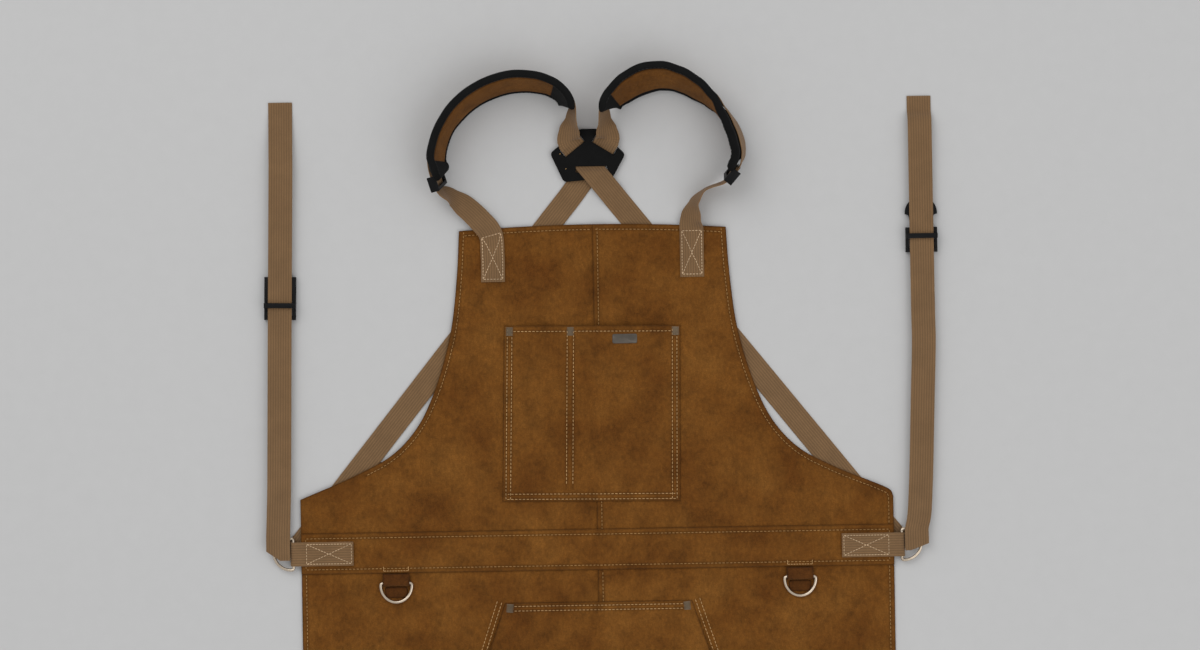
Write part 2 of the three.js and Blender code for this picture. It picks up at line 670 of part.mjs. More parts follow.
// Socket half: a hollow body with a mouth at its far end and a window in each side.
function buckleSocket() {
  const { half, floor, deck, wall } = BUCKLE;
  const body = box(-half, half, 5, 30, floor, deck);
  const mouth = box(-half + 2.5, half - 2.5, 8, 31, floor + wall, deck - wall);
  const windows = box(-half - 1, half + 1, 12, 20, floor + wall, deck - wall);
  return shaped(body, buckleFrame(-15), [mouth, windows]);
}

// Prong half: a base plate with a guide in the middle and a barbed leg either side.
function bucklePlug() {
  const { half, floor, deck } = BUCKLE;
  const base = box(-half, half, 3, 9, floor, deck);
  const low = floor + 1.8;
  const thick = deck - floor - 3.6;
  const leg = (side) => {
    const shape = new THREE.Shape();
    shape.moveTo(side * 8.5, 8);
    shape.lineTo(side * 12, 8);
    shape.quadraticCurveTo(side * 11.5, 18, side * 13.5, 22);
    shape.lineTo(side * 17, 23);
    shape.quadraticCurveTo(side * 17, 32, side * 11, 37);
    shape.quadraticCurveTo(side * 8.5, 36, side * 8.5, 30);
    shape.closePath();
    return plate(shape, low, thick, 6);
  };
  return shaped(base, [...buckleFrame(-17), box(-3, 3, 8, 32, low, low + thick), leg(-1), leg(1)]);
}

const BUCKLES = {
  left: { name: 'buckle_socket', along: 261, body: buckleSocket },
  right: { name: 'buckle_plug', along: 323, body: bucklePlug },
};

for (const [name, side] of SIDES) {
  const group = new THREE.Group();
  group.position.set(side * STRAP_PIVOT, 0, 0);
  apron.add(group);
  const route = new Route(WAIST_STRAPS[name], 1);
  const strip = route.strip({ n0: -WEB_THICK / 2, n1: WEB_THICK / 2, steps: 60 });
  place(`waist_strap_${name}`, strip, webbing, group);

  const { name: title, along, body } = BUCKLES[name];
  const points = route.curve.points;
  const upper = points.findIndex((point) => point.y > along);
  const a = points[upper - 1];
  const b = points[upper];
  const buckle = place(title, body(), plastic, group);
  buckle.position.set(a.x + (b.x - a.x) * (along - a.y) / (b.y - a.y), along, 0);
  buckle.rotation.z = -Math.atan2(b.x - a.x, b.y - a.y);
}

// ---- frame --------------------------------------------------------------------------------------

// The origin is the middle of the foot of the whole apron's box.
apron.updateMatrixWorld(true);
const bounds = new THREE.Box3().setFromObject(apron, true);
const middle = bounds.getCenter(new THREE.Vector3());
apron.position.set(-middle.x, -middle.y, -bounds.min.z);

export default apron;
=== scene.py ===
"""Looks of a cross-back leather work apron, laid flat and built round its CAD frame.

Shapes are worked out in millimetres from the middle of the waistband, with +Y towards the top of
the bib and +Z up, and become metres in the row frame when a mesh is made.
"""

import math
import random

import bmesh
import bpy
import numpy as np
from mathutils import Matrix, Vector, geometry, kdtree, noise


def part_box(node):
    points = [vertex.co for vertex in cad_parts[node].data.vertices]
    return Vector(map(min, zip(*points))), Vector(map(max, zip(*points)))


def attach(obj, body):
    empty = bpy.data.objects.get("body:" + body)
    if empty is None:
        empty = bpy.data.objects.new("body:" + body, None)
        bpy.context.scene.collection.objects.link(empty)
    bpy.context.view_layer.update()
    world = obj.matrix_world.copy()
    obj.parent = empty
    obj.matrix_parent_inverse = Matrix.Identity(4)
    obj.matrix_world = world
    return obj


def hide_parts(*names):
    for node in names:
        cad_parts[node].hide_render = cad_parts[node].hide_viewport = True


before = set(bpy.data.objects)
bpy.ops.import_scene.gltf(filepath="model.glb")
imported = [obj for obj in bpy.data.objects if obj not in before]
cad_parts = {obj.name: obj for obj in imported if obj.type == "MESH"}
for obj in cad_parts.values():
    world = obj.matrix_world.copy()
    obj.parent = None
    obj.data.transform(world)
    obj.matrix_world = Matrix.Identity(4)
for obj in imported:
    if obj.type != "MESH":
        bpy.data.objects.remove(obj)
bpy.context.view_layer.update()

MM = 0.001
SIDES = (("left", -1), ("right", 1))
random.seed(7)

# ---- sizes, from the frame ----

band_low, band_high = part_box("waistband")
ORIGIN = Vector(((band_low.x + band_high.x) / 2, (band_low.y + band_high.y) / 2, 0))


def local_box(node):
    """A CAD node's lowest and highest corners, in millimetres from the middle of the waistband."""
    low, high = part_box(node)
    return (low - ORIGIN) / MM, (high - ORIGIN) / MM


HALF_WIDTH, BAND_HALF, _ = local_box("waistband")[1]
_, BIB_FOOT, BIB_Z = local_box("bib_left")[0]
BIB_TOP = local_box("bib_left")[1].y
HEM = local_box("skirt_left")[0].y
_, SKIRT_HEAD, LEATHER = local_box("skirt_left")[1]
CHEST_LOW, CHEST_HIGH = local_box("chest_pocket")
LAP_LOW, LAP_HIGH = local_box("lap_pocket")
LABEL_LOW, LABEL_HIGH = local_box("pocket_label")
YOKE_Z = local_box("yoke")[0].z

BIB_HALF_TOP = 140
WING_TOP = 57
HEM_CORNER = 22
SEAM_LAP = 9                 # how far the right panels lie over the left ones
CHEST_DIVIDER = -26
LAP_HALF_TOP = 98
LAP_SLANT = 150
POCKET_LEATHER = 1.5
STITCH_INSET = 5
WEB_HALF = 12.5
WEB_THICK = 1.4
GAP = 0.3

# ---- small tools ----


def smooth(low, high, x):
    """0 up to low, 1 from high on and a soft step between."""
    t = min(1.0, max(0.0, (x - low) / (high - low)))
    return t * t * (3 - 2 * t)


def wave(x, y, scale, seed):
    return noise.noise(Vector((x / scale, y / scale, seed * 7.31)))


def resample(points, step, closed=False):
    """Points about `step` apart along a polyline, with its own corners kept."""
    line = [Vector(p) for p in points]
    if closed:
        line.append(line[0])
    made = []
    for a, b in zip(line, line[1:]):
        count = max(1, round((b - a).length / step))
        made += [a.lerp(b, i / count) for i in range(count)]
    if not closed:
        made.append(line[-1])
    return made


def offset(points, distance, closed=False):
    """A polyline moved `distance` to its left."""
    made = []
    points = [Vector(p) for p in points]
    count = len(points)
    for i, p in enumerate(points):
        before = points[i - 1] if i or closed else p
        after = points[(i + 1) % count] if i < count - 1 or closed else p
        a = (p - before).normalized() if p != before else (after - p).normalized()
        b = (after - p).normalized() if p != after else a
        mean = (a + b).normalized()
        stretch = max(0.5, mean.dot(b))
        made.append(p + Vector((-mean.y, mean.x)) * distance / stretch)
    return made


def spline(points, step):
    """A centripetal Catmull-Rom curve through 2-D or 3-D points, as a polyline."""
    curve = CatmullRom(points)
    long = sum((Vector(b) - Vector(a)).length for a, b in zip(points, points[1:]))
    count = max(4, round(long / step))
    return [curve.point(i / count) for i in range(count + 1)]


def upright(x, y0, y1):
    return [(x, y0), (x, y1)]


def level(y, x0, x1):
    return [(x0, y), (x1, y)]


def run_along(spots):
    """The distance along a polyline at each of its points."""
    return np.concatenate([[0], np.cumsum([(b - a).length for a, b in zip(spots, spots[1:])])])


def raised(under, thick):
    """The upper side of a sheet whose underside is at height under(x, y)."""
    return lambda x, y: under(x, y) + thick


class CatmullRom:
    """The centripetal curve that the frame's straps follow."""

    def __init__(self, points):
        self.points = [Vector(p) for p in points]

    def point(self, t):
        p = self.points
        spot = t * (len(p) - 1)
        i = min(int(spot), len(p) - 2)
        u = spot - i
        p0 = p[i - 1] if i else 2 * p[0] - p[1]
        p3 = p[i + 2] if i + 2 < len(p) else 2 * p[-1] - p[-2]
        d0 = max((p[i] - p0).length ** 0.5, 1e-4)
        d1 = max((p[i + 1] - p[i]).length ** 0.5, 1e-4)
        d2 = max((p3 - p[i + 1]).length ** 0.5, 1e-4)
        t1 = ((p[i] - p0) / d0 - (p[i + 1] - p0) / (d0 + d1) + (p[i + 1] - p[i]) / d1) * d1
        t2 = ((p[i + 1] - p[i]) / d1 - (p3 - p[i]) / (d1 + d2) + (p3 - p[i + 1]) / d2) * d1
        a = 2 * p[i] - 2 * p[i + 1] + t1 + t2
        b = -3 * p[i] + 3 * p[i + 1] - 2 * t1 - t2
        return ((a * u + b) * u + t1) * u + p[i]


class Route:
    """A strap's smooth line, with a roll and a half width at each point, as the frame has it."""

    def __init__(self, points, hand=1):
        self.hand = hand
        self.curve = CatmullRom([p[:3] for p in points])
        self.rolls = [p[3] if len(p) > 3 else 0 for p in points]
        self.halves = [p[4] if len(p) > 4 else WEB_HALF for p in points]
        self.spans = len(points) - 1

    def at(self, i):
        return i / self.spans

    def style(self, values, t):
        spot = min(max(t, 0), 1) * self.spans
        i = min(int(spot), self.spans - 1)
        return values[i] + (values[i + 1] - values[i]) * smooth(0, 1, spot - i)

    def frame(self, t):
        """(place, across, normal, half width) at t, from 0 to 1."""
        t = min(max(t, 0.0), 1.0)
        here = self.curve.point(t)
        along = (self.curve.point(min(1, t + 1e-4)) - self.curve.point(max(0, t - 1e-4))).normalized()
        roll = math.radians(self.style(self.rolls, t))
        side = Vector((-along.y, along.x, 0)).normalized() * self.hand
        up = along.cross(side) * self.hand
        across = side * math.cos(roll) + up * math.sin(roll)
        normal = up * math.cos(roll) - side * math.sin(roll)
        return here, across, normal, self.style(self.halves, t)

    def stations(self, t0, t1, step=2.0):
        """Frames about `step` apart, each with its distance along the strap."""
        fine = [t0 + (t1 - t0) * i / 1500 for i in range(1501)]
        spots = [self.curve.point(t) for t in fine]
        run = run_along(spots)
        count = max(4, round(run[-1] / step))
        times = np.interp(np.linspace(0, run[-1], count + 1), run, fine)
        return [(*self.frame(t), run[-1] * i / count) for i, t in enumerate(times)]


# ---- materials ----


def new_material(name, roughness, metallic=0.0):
    material = bpy.data.materials.new(name)
    material.use_nodes = True
    tree = material.node_tree
    shader = tree.nodes["Principled BSDF"]
    shader.inputs["Roughness"].default_value = roughness
    shader.inputs["Metallic"].default_value = metallic
    return material, tree, shader


def node(tree, kind, **values):
    made = tree.nodes.new(kind)
    for key, value in values.items():
        if key in made.inputs:
            made.inputs[key].default_value = value
        else:
            setattr(made, key.lower(), value)
    return made


def noise_at(tree, scale, detail=4.0, rough=0.55, stretch=None):
    """Noise in object space; `scale` is the number of features in a metre."""
    where = tree.nodes.new("ShaderNodeTexCoord")
    made = node(tree, "ShaderNodeTexNoise", Scale=scale, Detail=detail, Roughness=rough)
    source = where.outputs["Object"]
    if stretch:
        turn = node(tree, "ShaderNodeMapping", Scale=stretch)
        tree.links.new(source, turn.inputs["Vector"])
        source = turn.outputs["Vector"]
    tree.links.new(source, made.inputs["Vector"])
    return made.outputs["Fac"]


def ramp(tree, source, stops):
    made = tree.nodes.new("ShaderNodeValToRGB")
    elements = made.color_ramp.elements
    while len(elements) < len(stops):
        elements.new(0.5)
    for element, (position, color) in zip(elements, stops):
        element.position = position
        element.color = color if len(color) == 4 else (*color, 1)
    tree.links.new(source, made.inputs["Fac"])
    return made.outputs["Color"]


def feed(tree, socket, value):
    """Gives a socket another socket's output, a colour or a number."""
    if isinstance(value, bpy.types.NodeSocket):
        tree.links.new(value, socket)
    else:
        socket.default_value = (*value, 1) if isinstance(value, tuple) else value


def mix(tree, a, b, amount, blend="MIX"):
    """Mixes colour a with b."""
    made = tree.nodes.new("ShaderNodeMix")
    made.data_type = "RGBA"
    made.blend_type = blend
    for i, value in ((0, amount), (6, a), (7, b)):
        feed(tree, made.inputs[i], value)
    return made.outputs[2]


def maths(tree, operation, a, b):
    made = tree.nodes.new("ShaderNodeMath")
    made.operation = operation
    for socket, value in zip(made.inputs, (a, b)):
        feed(tree, socket, value)
    return made.outputs[0]


def bump(tree, shader, height, strength, distance):
    made = node(tree, "ShaderNodeBump", Strength=strength, Distance=distance)
    tree.links.new(height, made.inputs["Height"])
    tree.links.new(made.outputs["Normal"], shader.inputs["Normal"])


def attribute(tree, name):
    made = tree.nodes.new("ShaderNodeAttribute")
    made.attribute_name = name
    return made.outputs["Fac"]


def shade_by(tree, color, *layers):
    """Multiplies a colour by layers of (source, share, then stops of place and grey level)."""
    for source, share, *stops in layers:
        greys = ramp(tree, source, [(place, (grey,) * 3) for place, grey in stops])
        color = mix(tree, color, greys, share, "MULTIPLY")
    return color


def suede_material(name, dark, middle, light):
    """Split suede: cloudy patches, a short brushed nap, and painted shade that darkens it along its cut edges
    and stitch channels.
    """
    material, tree, shader = new_material(name, 0.95)
    clouds = ramp(tree, noise_at(tree, 14, 5, 0.6), [(0.34, dark), (0.5, middle), (0.68, light)])
    color = shade_by(
        tree, clouds,
        (noise_at(tree, 60, 4, 0.65), 0.85, (0.3, 0.7), (0.5, 1), (0.7, 1.14)),
        (noise_at(tree, 300, 4, 0.8, (1, 0.6, 1)), 0.85, (0.3, 0.72), (0.7, 1.28)),
        (noise_at(tree, 900, 3, 0.8), 0.75, (0.3, 0.72), (0.6, 1.1), (0.72, 1.5)),
    )
    # painted shade: the colour goes darker where the mesh marks cut edges and stitch channels
    color = mix(tree, color, tuple(c * 0.3 for c in dark), attribute(tree, "painted_shade"))
    tree.links.new(color, shader.inputs["Base Color"])
    coarse = maths(tree, "MULTIPLY", noise_at(tree, 170, 3, 0.6), 0.8)
    bump(tree, shader, maths(tree, "ADD", noise_at(tree, 900, 4, 0.8), coarse), 0.75, 0.0009)
    shader.inputs["Sheen Weight"].default_value = 0.12
    shader.inputs["Sheen Roughness"].default_value = 0.6
    shader.inputs["Sheen Tint"].default_value = (0.75, 0.5, 0.28, 1)
    shader.inputs["Specular IOR Level"].default_value = 0.12
    return material


def webbing_material(name, color):
    """Ribbed webbing: the ribs are in the mesh, the weft crosses them in fine rows and painted shade darkens
    the grooves between them.
    """
    material, tree, shader = new_material(name, 0.85)
    uv = tree.nodes.new("ShaderNodeUVMap")
    uv.uv_map = "strip"
    weft = node(tree, "ShaderNodeTexWave", Scale=1.0, Distortion=1.2, Detail=1.0)
    weft.wave_type = "BANDS"
    weft.bands_direction = "Y"
    turn = node(tree, "ShaderNodeMapping", Scale=(1.0, 3.6, 1.0))
    tree.links.new(uv.outputs["UV"], turn.inputs["Vector"])
    tree.links.new(turn.outputs["Vector"], weft.inputs["Vector"])
    made = shade_by(
        tree, color,
        (weft.outputs["Fac"], 0.8, (0.0, 0.8), (1.0, 1.1)),
        (noise_at(tree, 45, 4, 0.6), 0.8, (0.3, 0.86), (0.7, 1.1)),
        (noise_at(tree, 1100, 3, 0.8), 0.7, (0.25, 0.76), (0.75, 1.2)),
    )
    # painted shade in the grooves between the ribs
    made = mix(tree, made, tuple(c * 0.42 for c in color), attribute(tree, "painted_shade"))
    tree.links.new(made, shader.inputs["Base Color"])
    height = maths(tree, "ADD", weft.outputs["Fac"], noise_at(tree, 900, 3, 0.8))
    bump(tree, shader, height, 0.5, 0.0003)
    shader.inputs["Sheen Weight"].default_value = 0.15
    shader.inputs["Sheen Roughness"].default_value = 0.5
    shader.inputs["Specular IOR Level"].default_value = 0.2
    return material


SPOTTED = 0.15               # how much a plain material's roughness changes over its patches


def plain_material(name, color, roughness, metallic=0.0, grain=700, depth=0.0003, spread=0.25):
    """Leather, plastic, thread or metal: one colour with its grain and its worn patches."""
    material, tree, shader = new_material(name, roughness, metallic)
    cloudy = (noise_at(tree, 60, 4, 0.6), 1.0, (0.3, 1 - spread), (0.7, 1 + spread))
    tree.links.new(shade_by(tree, color, cloudy), shader.inputs["Base Color"])
    patches = maths(tree, "MULTIPLY", noise_at(tree, 150, 3, 0.6), SPOTTED)
    patches = maths(tree, "ADD", patches, roughness - SPOTTED / 2)
    tree.links.new(patches, shader.inputs["Roughness"])
    bump(tree, shader, noise_at(tree, grain, 4, 0.7), 0.5, depth)
    shader.inputs["Specular IOR Level"].default_value = 0.5 if metallic else 0.15
    return material


def thread_material(name, color, roughness=0.8):
    return plain_material(name, color, roughness, grain=2500, depth=0.0001)


SUEDE = suede_material("suede", (0.128, 0.043, 0.0058), (0.176, 0.065, 0.0098), (0.215, 0.085, 0.0145))
PAD_SUEDE = suede_material("pad_suede", (0.1, 0.036, 0.006), (0.135, 0.05, 0.0085), (0.17, 0.066, 0.012))
LOOP_SUEDE = suede_material("loop_suede", (0.06, 0.018, 0.0035), (0.095, 0.031, 0.0055), (0.13, 0.045, 0.008))
WEBBING = webbing_material("webbing", (0.272, 0.157, 0.073))
BLACK_LEATHER = plain_material("black_leather", (0.0042,) * 3, 0.8, grain=900, depth=0.0004)
PLASTIC = plain_material("black_plastic", (0.005, 0.005, 0.0055), 0.5, grain=1800, depth=0.0001)
STEEL = plain_material("nickel", (0.66, 0.55, 0.43), 0.26, 1.0, grain=500, depth=0.00005, spread=0.12)
LABEL_METAL = plain_material("label_metal", (0.13, 0.113, 0.095), 0.42, 0.9, grain=1500, depth=0.0001)
PALE = thread_material("pale_thread", (0.72, 0.52, 0.33))
CREAM = thread_material("cream_thread", (0.6, 0.37, 0.16))
TAN = thread_material("tan_thread", (0.44, 0.25, 0.09))
GREY_THREAD = thread_material("grey_thread", (0.2, 0.15, 0.1), 0.85)
BLACK_THREAD = thread_material("black_thread", (0.03, 0.03, 0.03))

# ---- meshes ----


def put(name, data):
    """A new object in the scene."""
    made = bpy.data.objects.new(name, data)
    bpy.context.scene.collection.objects.link(made)
    return made


def finish(name, mesh, material, body, replaces, sharp):
    """Makes a piece of a mesh: its looks, the body that it rides on and the nodes that it stands for."""
    mesh.materials.append(material)
    mesh.polygons.foreach_set("use_smooth", [True] * len(mesh.polygons))
    if sharp:
        mesh.set_sharp_from_angle(angle=math.radians(sharp))
    made = put(name, mesh)
    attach(made, body)
    if replaces:
        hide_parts(*replaces)
    return made


def add_piece(name, verts, faces, material, body="root", replaces=(), painted_shade=None, uv=None, sharp=40):
    """A finished piece on a body, from millimetre points round the waistband's middle."""
    mesh = bpy.data.meshes.new(name)
    mesh.from_pydata([tuple(Vector(v) * MM + ORIGIN) for v in verts], [], faces)
    mesh.validate()
    # painted shade at each vertex, which the materials use to darken the colour
    if painted_shade is not None:
        layer = mesh.attributes.new("painted_shade", "FLOAT", "POINT")
        layer.data.foreach_set("value", painted_shade)
    if uv is not None:
        layer = mesh.uv_layers.new(name="strip")
        for loop in mesh.loops:
            layer.data[loop.index].uv = uv[loop.vertex_index]
    return finish(name, mesh, material, body, replaces, sharp)


def shift_each(made, shift):
    """Moves a finished piece's vertices by shift(place), both in millimetres."""
    for vertex in made.data.vertices:
        vertex.co += Vector(shift((vertex.co - ORIGIN) / MM)) * MM
    made.data.update()


def face_out(made):
    """Turns a closed piece's faces outwards."""
    bm = bmesh.new()
    bm.from_mesh(made.data)
    bmesh.ops.recalc_face_normals(bm, faces=bm.faces)
    bm.to_mesh(made.data)
    bm.free()
    return made


def circle(centre, a, b, radius, sides):
    """Points round a centre in the plane of two unit vectors."""
    turns = [2 * math.pi * k / sides for k in range(sides)]
    return [centre + (a * math.cos(t) + b * math.sin(t)) * radius for t in turns]


def ring_faces(rows, around, closed=False):
    """Quads between rows of `around` vertices, round and, if closed, from the last row to the first."""
    return [
        (row * around + k, row * around + j, above + j, above + k)
        for row in range(rows if closed else rows - 1)
        for above in [(row + 1) % rows * around]
        for k, j in zip(range(around), [*range(1, around), 0])
    ]


def capped_faces(rows, around):
    """Quads between rows of vertices, with the first and the last row filled."""
    ends = [tuple(range(around))[::-1], tuple(range((rows - 1) * around, rows * around))]
    return ring_faces(rows, around) + ends


def nearest(points):
    """A function that says how far a spot lies from the nearest of the points."""
    tree = kdtree.KDTree(len(points))
    for i, p in enumerate(points):
        tree.insert((p.x, p.y, 0), i)
    tree.balance()
    return lambda p: tree.find((p.x, p.y, 0))[2]


def inside(points, polygon, holes=()):
    """Which of the points lie inside a closed polygon and outside its holes."""
    p, ring = (np.array([(q[0], q[1]) for q in line]) for line in (points, polygon))
    found = np.zeros(len(p), bool)
    for (x0, y0), (x1, y1) in zip(ring, np.roll(ring, -1, 0)):
        if y0 == y1:
            continue
        crosses = (p[:, 1] > min(y0, y1)) & (p[:, 1] <= max(y0, y1))
        at = x0 + (p[:, 1] - y0) * (x1 - x0) / (y1 - y0)
        found ^= crosses & (p[:, 0] < at)
    for hole in holes:
        found &= ~inside(points, hole)
    return found


def signed_area(polygon):
    """A polygon's area, below zero where it runs clockwise."""
    ring = [Vector(p) for p in polygon]
    return sum(a.x * b.y - b.x * a.y for a, b in zip(ring, ring[1:] + ring[:1])) / 2


# how leather is shaped at its edge: (distance in, drop as a share of its thickness, painted shade)
EDGE_RINGS = ((0.0, 0.42, 0.75), (0.55, 0.14, 0.4), (1.8, 0.0, 0.12))
# and how a stitch line pulls it in: (distance aside, drop in mm, painted shade)
CHANNEL_ROWS = (
    (0.0, 0.42, 0.55), (1.3, 0.1, 0.2), (-1.3, 0.1, 0.2), (3.0, -0.1, 0.0), (-3.0, -0.1, 0.0),
)
CHANNEL_CLEAR = 2.2          # how near to a cut a stitch line still pulls
ROW_RISE = 0.866             # height of a row of the triangle grid, as a share of its pitch


def cut_leather(name, outline, under, thick, material=SUEDE, channels=(), holes=(),
                replaces=(), pitch=8.0):
    """A sheet cut to `outline`, its underside at height under(x, y), pulled in along its stitches."""
    ring = resample(outline, 4.0, closed=True)
    if signed_area(ring) < 0:
        ring.reverse()
    points, edges = [], []
    loops = [ring] + [resample(hole, 3.0, closed=True)[::-1] for hole in holes]
    for loop in loops:
        start, count = len(points), len(loop)
        edges += [(start + i, start + (i + 1) % count) for i in range(count)]
        points += loop
    rim = len(points)
    # the cut edge gets the darkest painted shade
    depth, dark = [EDGE_RINGS[0][1] * thick] * rim, [EDGE_RINGS[0][2]] * rim
    to_cut = nearest([p for loop in loops for p in resample(loop, 1.0, True)])

    def add(candidates, drop, shade, clear):
        for p, flag in zip(candidates, inside(candidates, ring, holes)):
            if flag and to_cut(p) > clear:
                points.append(p)
                depth.append(drop)
                dark.append(shade)

    for inset, drop, shade in EDGE_RINGS[1:]:
        for loop in loops:
            add(offset(loop, inset, closed=True), drop * thick, shade, inset * 0.8)
    for line in channels:
        fine = resample(line, 2.5)
        for away, drop, shade in CHANNEL_ROWS:
            add(offset(fine, away), drop, shade, CHANNEL_CLEAR)
    to_used = nearest(points)
    low = Vector((min(p.x for p in ring), min(p.y for p in ring)))
    high = Vector((max(p.x for p in ring), max(p.y for p in ring)))
    wide, tall, rise = high.x - low.x, high.y - low.y, pitch * ROW_RISE
    grid = [
        Vector((low.x + pitch * (i + 0.5 * (row % 2)), low.y + rise * row))
        for row in range(int(tall / rise) + 1) for i in range(int(wide / pitch) + 2)
    ]
    add([p for p in grid if to_used(p) > 0.45 * pitch], 0.0, 0.0, 0.4 * pitch)

    flat, _, triangles, origins, _, _ = geometry.delaunay_2d_cdt(points, edges, [], 0, 1e-3)
    source = [o[0] if o else 0 for o in origins]
    centres = [(flat[a] + flat[b] + flat[c]) / 3 for a, b, c in triangles]
    triangles = [t for t, kept in zip(triangles, inside(centres, ring, holes)) if kept]
    bases = [under(p.x, p.y) for p in flat]
    top = [(p.x, p.y, base + thick - depth[i]) for p, base, i in zip(flat, bases, source)]
    bottom = [
        (p.x, p.y, base + (0.2 * thick if i < rim else 0.0)) for p, base, i in zip(flat, bases, source)
    ]
    n = len(flat)
    faces = [tuple(t) for t in triangles] + [(a + n, c + n, b + n) for a, b, c in triangles]
    borders = dict.fromkeys(edge for a, b, c in triangles for edge in ((a, b), (b, c), (c, a)))
    faces += [(b, a, a + n, b + n) for a, b in borders if (b, a) not in borders]
    # painted shade at each vertex, on the top and the bottom
    painted_shade = [dark[i] for i in source] * 2
    made = add_piece(name, top + bottom, faces, material, replaces=replaces, painted_shade=painted_shade)
    return made


# the sections of one stitch: (place along it, thickness, lift)
STITCH = ((0.0, 0.35, -1.0), (0.14, 0.85, 0.1), (0.38, 1.0, 0.9), (0.62, 1.0, 0.9), (0.86, 0.85, 0.1),
          (1.0, 0.35, -1.0))
STITCH_SIDES = 6
STITCH_LEAN = 0.12           # how far aside a stitch's ends may lie
STITCH_SHORTEST = 0.3
STITCH_FACES = capped_faces(len(STITCH), STITCH_SIDES)


def thread_run(verts, faces, a, b, radius, arch):
    """One stitch from a to b that rises a little in its middle and dives in at both ends."""
    along = (b - a).normalized()
    side = along.cross(Vector((0, 0, 1))).normalized()
    up = side.cross(along)
    faces.extend(tuple(len(verts) + k for k in face) for face in STITCH_FACES)
    for t, size, lift in STITCH:
        verts.extend(circle(a.lerp(b, t) + up * (arch * lift), side, up, radius * size, STITCH_SIDES))


def stitches(name, lines, material, pitch=4.0, length=2.9, radius=0.36, arch=0.22):
    """Rows of stitches along 3-D lines."""
    verts, faces = [], []
    for line in lines:
        spots = [Vector(p) for p in line]
        run = run_along(spots)
        count = max(1, round(run[-1] / pitch))
        real = run[-1] / count
        for i in range(count):
            lean = random.uniform(-STITCH_LEAN, STITCH_LEAN)
            ends = []
            for s in (real * i + (real - length) / 2, real * i + (real + length) / 2):
                s = min(max(s, 0), run[-1])
                k = min(int(np.searchsorted(run, s, side="right")) - 1, len(spots) - 2)
                span = max(run[k + 1] - run[k], 1e-6)
                ends.append(spots[k].lerp(spots[k + 1], (s - run[k]) / span))
            a, b = ends
            if (b - a).length < STITCH_SHORTEST:
                continue
            side = Vector((a.y - b.y, b.x - a.x, 0)).normalized() * lean
            thread_run(verts, faces, a + side, b - side, radius, arch)
    return add_piece(name, verts, faces, material, sharp=0)


def sew(name, surface, lines, material, sink=0.3, **looks):
    """Stitches along 2-D lines laid on a surface and sunk in it."""
    laid = [[(p.x, p.y, surface(p.x, p.y) - sink) for p in resample(line, 2.0)] for line in lines]
    return stitches(name, laid, material, **looks)


# places across a strip of leather, as shares of its half width
LEATHER_SPREAD = [math.sin(math.pi / 2 * (2 * i / 18 - 1)) for i in range(19)]
UV_UNIT = 10                 # a strip's UV is in centimetres across and along it


def ribbon(name, stations, section, material, body="root", replaces=(), shade=lambda *_: 0.0,
           spread=LEATHER_SPREAD):
    """A strip along stations. section(w, s, half, long) gives its lower and upper height off the route."""
    verts, uv, painted_shade = [], [], []
    long = stations[-1][4]
    count = len(spread)
    for here, across, normal, half, s in stations:
        for upper in (True, False):
            for f in spread if upper else reversed(spread):
                w = f * half
                low, high = section(w, s, half, long)
                verts.append(here + across * w + normal * (high if upper else low))
                uv.append((w / UV_UNIT, s / UV_UNIT))
                # painted shade at each vertex
                painted_shade.append(shade(w, s, half, long))
    ring = 2 * count
    faces = ring_faces(len(stations), ring)
    for base, turn in ((0, 1), ((len(stations) - 1) * ring, -1)):
        for k in range(count - 1):
            faces.append((base + k, base + ring - 1 - k, base + ring - 2 - k, base + k + 1)[::turn])
    return face_out(add_piece(name, verts, faces, material, body, replaces, painted_shade, uv, sharp=55))


RIB = 2.6                    # width of one rib of the webbing
RIB_DEPTH = 0.24
RIB_COLUMNS = 4


def web_section(low, high):
    """Webbing between two depths of its route, with ribs lengthwise and rounded edges."""
    def section(w, s, half, long):
        edge = min(1.0, (half - abs(w)) / 0.9)
        round_off = (1 - math.sqrt(max(0.0, 1 - (1 - edge) ** 2))) * (high - low) * 0.42
        rib = RIB_DEPTH * (1 - math.cos(2 * math.pi * w / RIB)) / 2 * smooth(0, 1.5, half - abs(w))
        end = smooth(0, 1.2, min(s, long - s)) * 0.35 + 0.65
        middle = (low + high) / 2
        deep = (high - low) / 2 * end
        return middle - deep + round_off + rib, middle + deep - round_off - rib
    return section


# painted shade in the grooves between the ribs, none at the strip's edges
def web_shade(w, s, half, long):
    groove = 0.5 - 0.5 * math.cos(2 * math.pi * w / RIB)
    return 0.6 * groove * smooth(0, 1.5, half - abs(w))


def web_spread(half=WEB_HALF):
    count = round(2 * half / RIB * RIB_COLUMNS)
    return [-1.0] + [-1 + 2 * (i + 0.5) / count for i in range(count)] + [1.0]


def webbing(name, stations, low, high, body="root", replaces=(), rests_on=(), held="laid"):
    made = ribbon(
        name, stations, web_section(low, high), WEBBING, body, replaces, web_shade, web_spread(),
    )
    return made


TUBE_SIDES = 14


def tube(name, spots, radius, material, body):
    """A closed loop of round wire, which stands for the CAD node of its body's name."""
    verts = []
    count = len(spots)
    middle = sum(spots, Vector()) / count
    flat = (spots[1] - spots[0]).cross(spots[count // 3] - spots[0]).normalized()
    for i, p in enumerate(spots):
        along = (spots[(i + 1) % count] - spots[i - 1]).normalized()
        out = along.cross(flat).normalized()
        if out.dot(p - middle) < 0:
            out.negate()
        verts += circle(p, out, flat, radius, TUBE_SIDES)
    faces = ring_faces(count, TUBE_SIDES, closed=True)
    return face_out(add_piece(name, verts, faces, material, body, [body], sharp=0))


